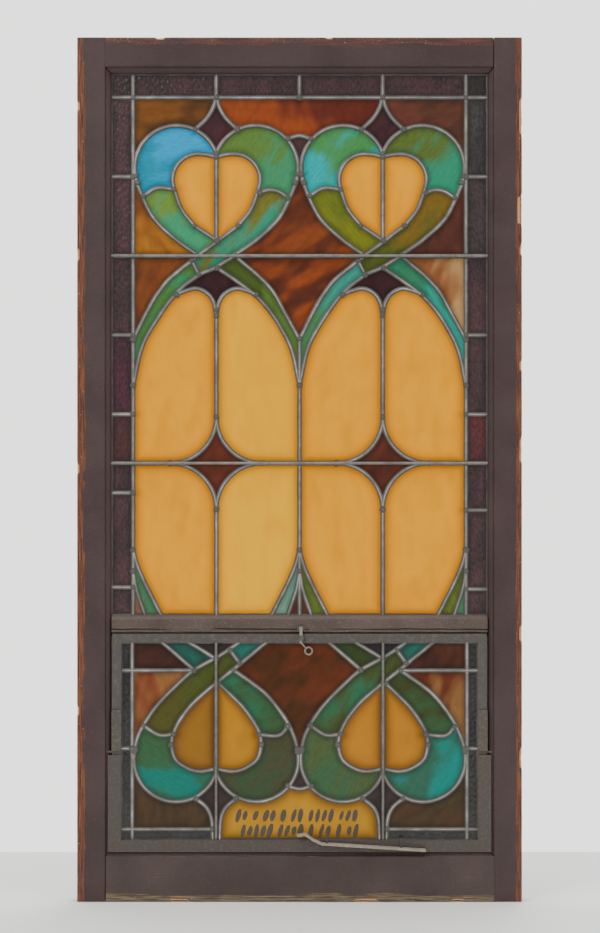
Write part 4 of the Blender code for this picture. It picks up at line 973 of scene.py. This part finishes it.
vent_steel = rolled_steel("painted_rolled_steel", "#4C4A45", "#544A45", "#7C756C", 0.45, 0.1)
frame_steel = rolled_steel("dusty_rolled_steel", "#4A4440", "#52463F", "#7C7066", 0.35, 0.1)
bar_steel = rolled_steel("old_round_bar_steel", "#7C7973", "#67615A", "#A8A49A", 0.4, 0.2)
worn_steel = rolled_steel("rubbed_wrought_steel", "#4C4741", "#5A5046", "#8E877A", 0.45, 0.15)
stay_steel = rolled_steel("dusty_wrought_steel", "#8E8478", "#A09484", "#BEB6A8", 0.6, 0.1)
bright_steel = rolled_steel("bright_wire_steel", "#8C8980", "#7A7266", "#C4C0B6", 0.5, 0.3)


def eased(node, material, width):
    """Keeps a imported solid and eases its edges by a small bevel."""
    solid = frame["nodes"][node]
    solid.data.materials.clear()
    solid.data.materials.append(material)
    weld = solid.modifiers.new("weld", "WELD")
    weld.merge_threshold = 0.00002
    bevel = solid.modifiers.new("eased_edges", "BEVEL")
    bevel.width = width * MM
    bevel.segments = 2
    bevel.limit_method = "ANGLE"
    bevel.angle_limit = math.radians(40)


eased("vent_frame", frame_steel, 0.4)
eased("vent_lower_flange", frame_steel, 0.5)
eased("vent_sash", vent_steel, 0.8)
for node, width in (("left_pivot_sleeve", 1.0), ("right_pivot_sleeve", 1.0), ("catch_plate", 0.3),
                    ("keeper_plate", 0.3)):
    eased(node, worn_steel, width)
eased("stay_bar", stay_steel, 0.7)


def round_bar(centre, axis, start, stop, diameter, seed):
    """A round bar as rings of 16 points with slight dents, with its end rings drawn in."""
    along = np.concatenate([[start, start + 0.4], np.arange(start + 6, stop - 6, 6.0), [stop - 0.4, stop]])
    turn = np.linspace(0, 2 * np.pi, 16, endpoint=False)
    radius = np.full((len(along), 1), diameter / 2)
    radius[[0, -1]] -= 0.4
    radius = radius + 0.07 * waves(along[:, None], turn * diameter / 2, seed, 60, 9)
    a, b = centre[0] + radius * np.cos(turn), centre[1] + radius * np.sin(turn)
    s = along[:, None] + 0 * a
    return np.stack([s, a, b] if axis == "x" else [a, b, s], axis=-1)


for name, axis, body, seed in (("lower_saddle_bar", "x", "root", 71), ("upper_saddle_bar", "x", "root", 72),
                               ("vent_left_bar", "z", "vent", 73), ("vent_right_bar", "z", "vent", 74)):
    low, high = span(name)
    middle = (low + high) / 2
    if axis == "x":
        grid = round_bar(middle[1:], axis, low[0], high[0], high[2] - low[2], seed)
    else:
        grid = round_bar(middle[:2], axis, low[2], high[2], high[0] - low[0], seed)
    fit(name + "_round", shells(name + "_round", [grid]), bar_steel, body, "steel", name, angle=45)


# Catch bolt. A flat bolt with a bent stem and a pull ring of steel wire, all forged in one.
bolt_low, bolt_high = span("catch_bolt")
BOLT_X, BOLT_HALF, BOLT_THICK = 3.0, 3.25, 3.0
RING_X, RING_Z, RING_R, WIRE = 19.0, bolt_low[2] + 9.5, 7.5, 2.0
STEM_WIDTH, STEM_THICK, BOLT_LENGTH = 3.6, 2.4, 36.0
bolt_y = (bolt_low[1] + bolt_high[1]) / 2


def flat_bar(path, width, thick, y):
    """A bar with a rounded rectangular section whose broad side faces the room."""
    points, across = frames(np.array(path, float), 2.0)
    section, _, _ = softened([(-width / 2, -thick / 2), (width / 2, -thick / 2),
                              (width / 2, thick / 2), (-width / 2, thick / 2)], thick * 0.3, 3.0)
    return np.stack([points[:, :1] + across[:, :1] * section[:, 0], y + section[:, 1] + 0 * points[:, :1],
                     points[:, 1:] + across[:, 1:] * section[:, 0]], axis=-1)


bolt_foot = bolt_high[2] - BOLT_LENGTH
turn = np.linspace(0, 2 * np.pi, 36, endpoint=False)[:, None]
round_turn = np.linspace(0, 2 * np.pi, 12, endpoint=False)
reach = RING_R + WIRE * np.cos(round_turn)
ring = np.stack([RING_X + reach * np.cos(turn), bolt_y + WIRE * np.sin(round_turn) + 0 * turn,
                 RING_Z + reach * np.sin(turn)], axis=-1)
ring = np.concatenate([ring, ring[:1]])
mesh = shells("catch_bolt_forged", [
    flat_bar([(BOLT_X, bolt_foot), (BOLT_X, bolt_high[2])], 2 * BOLT_HALF, BOLT_THICK, bolt_y),
    flat_bar([(BOLT_X, bolt_foot + 3), (RING_X - RING_R * 0.72, RING_Z + RING_R * 0.72)],
             STEM_WIDTH, STEM_THICK, bolt_y),
    ring])
fit("catch_bolt_forged", mesh, bright_steel, "bolt", "old_steel", "catch_bolt", angle=50)


# Inscription. Its place on the amber pane at the foot carries two rows of short painted
# brush strokes in brown glass paint, fired on.
STROKE_ROWS = (178.0, 146.0)
STROKE_HEIGHT = 30.0
STROKE_STEP, STROKE_GAP, ROW_HALF = 14.0, 22.0, 128.0
draw = np.random.default_rng(5)
strokes = []
for row, middle_z in enumerate(STROKE_ROWS):
    x = -ROW_HALF + 10.0 * row
    while x < ROW_HALF:
        t = np.linspace(0, 1, 9)[:, None]
        height = STROKE_HEIGHT * draw.uniform(0.62, 1.0)
        lean = draw.uniform(0.12, 0.3) * height
        half = draw.uniform(4.2, 6.4) * np.sin(np.pi * (0.08 + 0.84 * t)) ** 0.6
        section = np.array([(-1, 0.0), (-0.6, -1.0), (0.6, -1.0), (1, 0.0), (0.6, 0.4), (-0.6, 0.4)])
        strokes.append(np.stack([x + lean * (t - 0.5) + half * section[:, 0],
                                 vent.y - GLASS / 2 - 0.1 + 0.16 * section[:, 1] + 0 * t,
                                 middle_z + height * (t - 0.5) + 0 * section[:, 0]], axis=-1))
        x += STROKE_STEP if draw.random() > 0.25 else STROKE_GAP
glass_paint, tree, shader = new_material("fired_glass_paint")
place = add(tree, "TexCoord").outputs["Object"]
wash = add(tree, "TexNoise", {"Vector": place, "Scale": 240.0, "Detail": 5.0})
thin = add(tree, "Mix", {0: wash, 6: linear("#3A362E"), 7: linear("#5E543C")}, data_type="RGBA")
connect(shader, {"Base Color": thin.outputs[2], "Roughness": 0.6})
fit("inscription_strokes", shells("inscription_strokes", strokes), glass_paint, "vent", "brown_glass")


# Glazing putty. Linseed putty in the outer rebates, a sloping fillet round each light,
# pale grey, cracked and dusty.
def fillet(light, edge_x, edge_z, y0, y1, width, name):
    """A three-cornered bar of putty along each side of a light, mitred at the corners."""
    grids = []
    section = np.array([(0.0, y0), (0.0, y1), (-width * 0.25, y1 - (y1 - y0) * 0.12), (-width, y0)])
    for axis in ("x", "z"):
        for side in (-1, 1):
            out = edge_x if axis == "z" else (edge_z[0] if side < 0 else edge_z[1])
            inner = section[:, 0]
            if axis == "z":
                ends = (edge_z[0] - inner, edge_z[1] + inner)
            else:
                ends = (-edge_x - inner, edge_x + inner)
            t = np.linspace(0, 1, int((ends[1][0] - ends[0][0]) // 8))[:, None]
            along = ends[0] + t * (ends[1] - ends[0])
            lift = 0.35 * waves(along, section[:, 1] * 4, 81 + side, 90, 14) - 0.4
            depth = section[:, 1] + lift * (section[:, 1] > y0)
            flat = (side * (out + inner) if axis == "z" else out + side * inner) + 0 * along
            grids.append(np.stack([flat, depth, along] if axis == "z" else [along, depth, flat], axis=-1))
    return shells(name, grids)


putty, tree, shader = new_material("linseed_putty")
place = add(tree, "TexCoord").outputs["Object"]
grime = add(tree, "TexNoise", {"Vector": place, "Scale": 60.0, "Detail": 8.0, "Roughness": 0.7})
mottled = add(tree, "Mix", {0: grime, 6: linear("#5E564C"), 7: linear("#A49A8A")}, data_type="RGBA")
rough_skin = add(tree, "Bump", {"Strength": 0.6, "Distance": 0.0008, "Height": grime})
connect(shader, {"Base Color": mottled.outputs[2], "Roughness": 0.85, "Normal": rough_skin})
SLACK, WEB_INSET = 0.4, 6.4
rebate_x = SIGHT_X + REBATE - SLACK
mesh = fillet(upper, rebate_x, (bar_high[2] - REBATE + SLACK, TOP_SIGHT + REBATE - SLACK), 3.4, 16.0, 11.0,
              "upper_putty")
fit("upper_putty", mesh, putty, "root", "painted_wood", angle=30)
web_x = sash_high[0] - WEB_INSET
mesh = fillet(vent, web_x, (sash_low[2] + WEB_INSET, sash_high[2] - WEB_INSET), vent.y + 3.3,
              sash_high[1] - SLACK, 9.0,
              "vent_putty")
fit("vent_putty", mesh, putty, "vent", "painted_steel", angle=30)


# Studio. The window stands on a pale floor in soft light, seen square on from the room.
FLOOR_HALF, FLOOR_BACK = 2600.0, 560.0
corners = [(-FLOOR_HALF, -FLOOR_HALF, -1.0), (FLOOR_HALF, -FLOOR_HALF, -1.0), (FLOOR_HALF, FLOOR_BACK, -1.0),
           (-FLOOR_HALF, FLOOR_BACK, -1.0)]
mesh = bpy.data.meshes.new("studio_floor")
mesh.from_pydata(np.array(corners) * MM, [], [(0, 1, 2, 3)])
floor = put_in_scene("studio_floor", mesh)
paper, tree, shader = new_material("pale_paper")
connect(shader, {"Base Color": linear("#F6F6F4"), "Roughness": 0.9})
floor.data.materials.append(paper)

# The backdrop is bright to the eye and dimmer as a light, so that the glass keeps its
# depth of colour.
ROOM_LIGHT, BACKDROP_LIGHT = 0.40, 2.25
world = bpy.data.worlds.new("pale_studio")
world.use_nodes = True
tree = world.node_tree
seen = add(tree, "LightPath").outputs["Is Camera Ray"]
level = add(tree, "MapRange", {0: seen, 3: ROOM_LIGHT, 4: BACKDROP_LIGHT})
connect(tree.nodes["Background"], {0: (1.0, 1.0, 0.985, 1.0), 1: level})
bpy.context.scene.world = world


def soft_light(name, place, target, size, power):
    """A square area light that faces its target."""
    lamp = bpy.data.lights.new(name, "AREA")
    lamp.size, lamp.energy = size, power
    thing = put_in_scene(name, lamp)
    thing.location = place
    thing.rotation_euler = (Vector(target) - Vector(place)).to_track_quat("-Z", "Y").to_euler()


soft_light("key", (-1.9, -3.0, 3.3), (0, 0, 0.8), 1.4, 58)
soft_light("fill", (2.8, -3.2, 1.4), (0, 0, 0.7), 2.2, 22)
soft_light("back", (0.8, 3.2, 2.4), (0, 0, 0.9), 2.2, 60)
soft_light("overhead", (0.0, 0.2, 4.4), (0, 0, 0), 3.4, 260)

LENS, CAMERA_PLACE = 82.7, (0.001, -4.5, 0.909)
camera = put_in_scene("camera", bpy.data.cameras.new("camera"))
camera.data.lens = LENS
camera.location = CAMERA_PLACE
camera.rotation_euler = (math.pi / 2, 0, 0)
bpy.context.scene.camera = camera
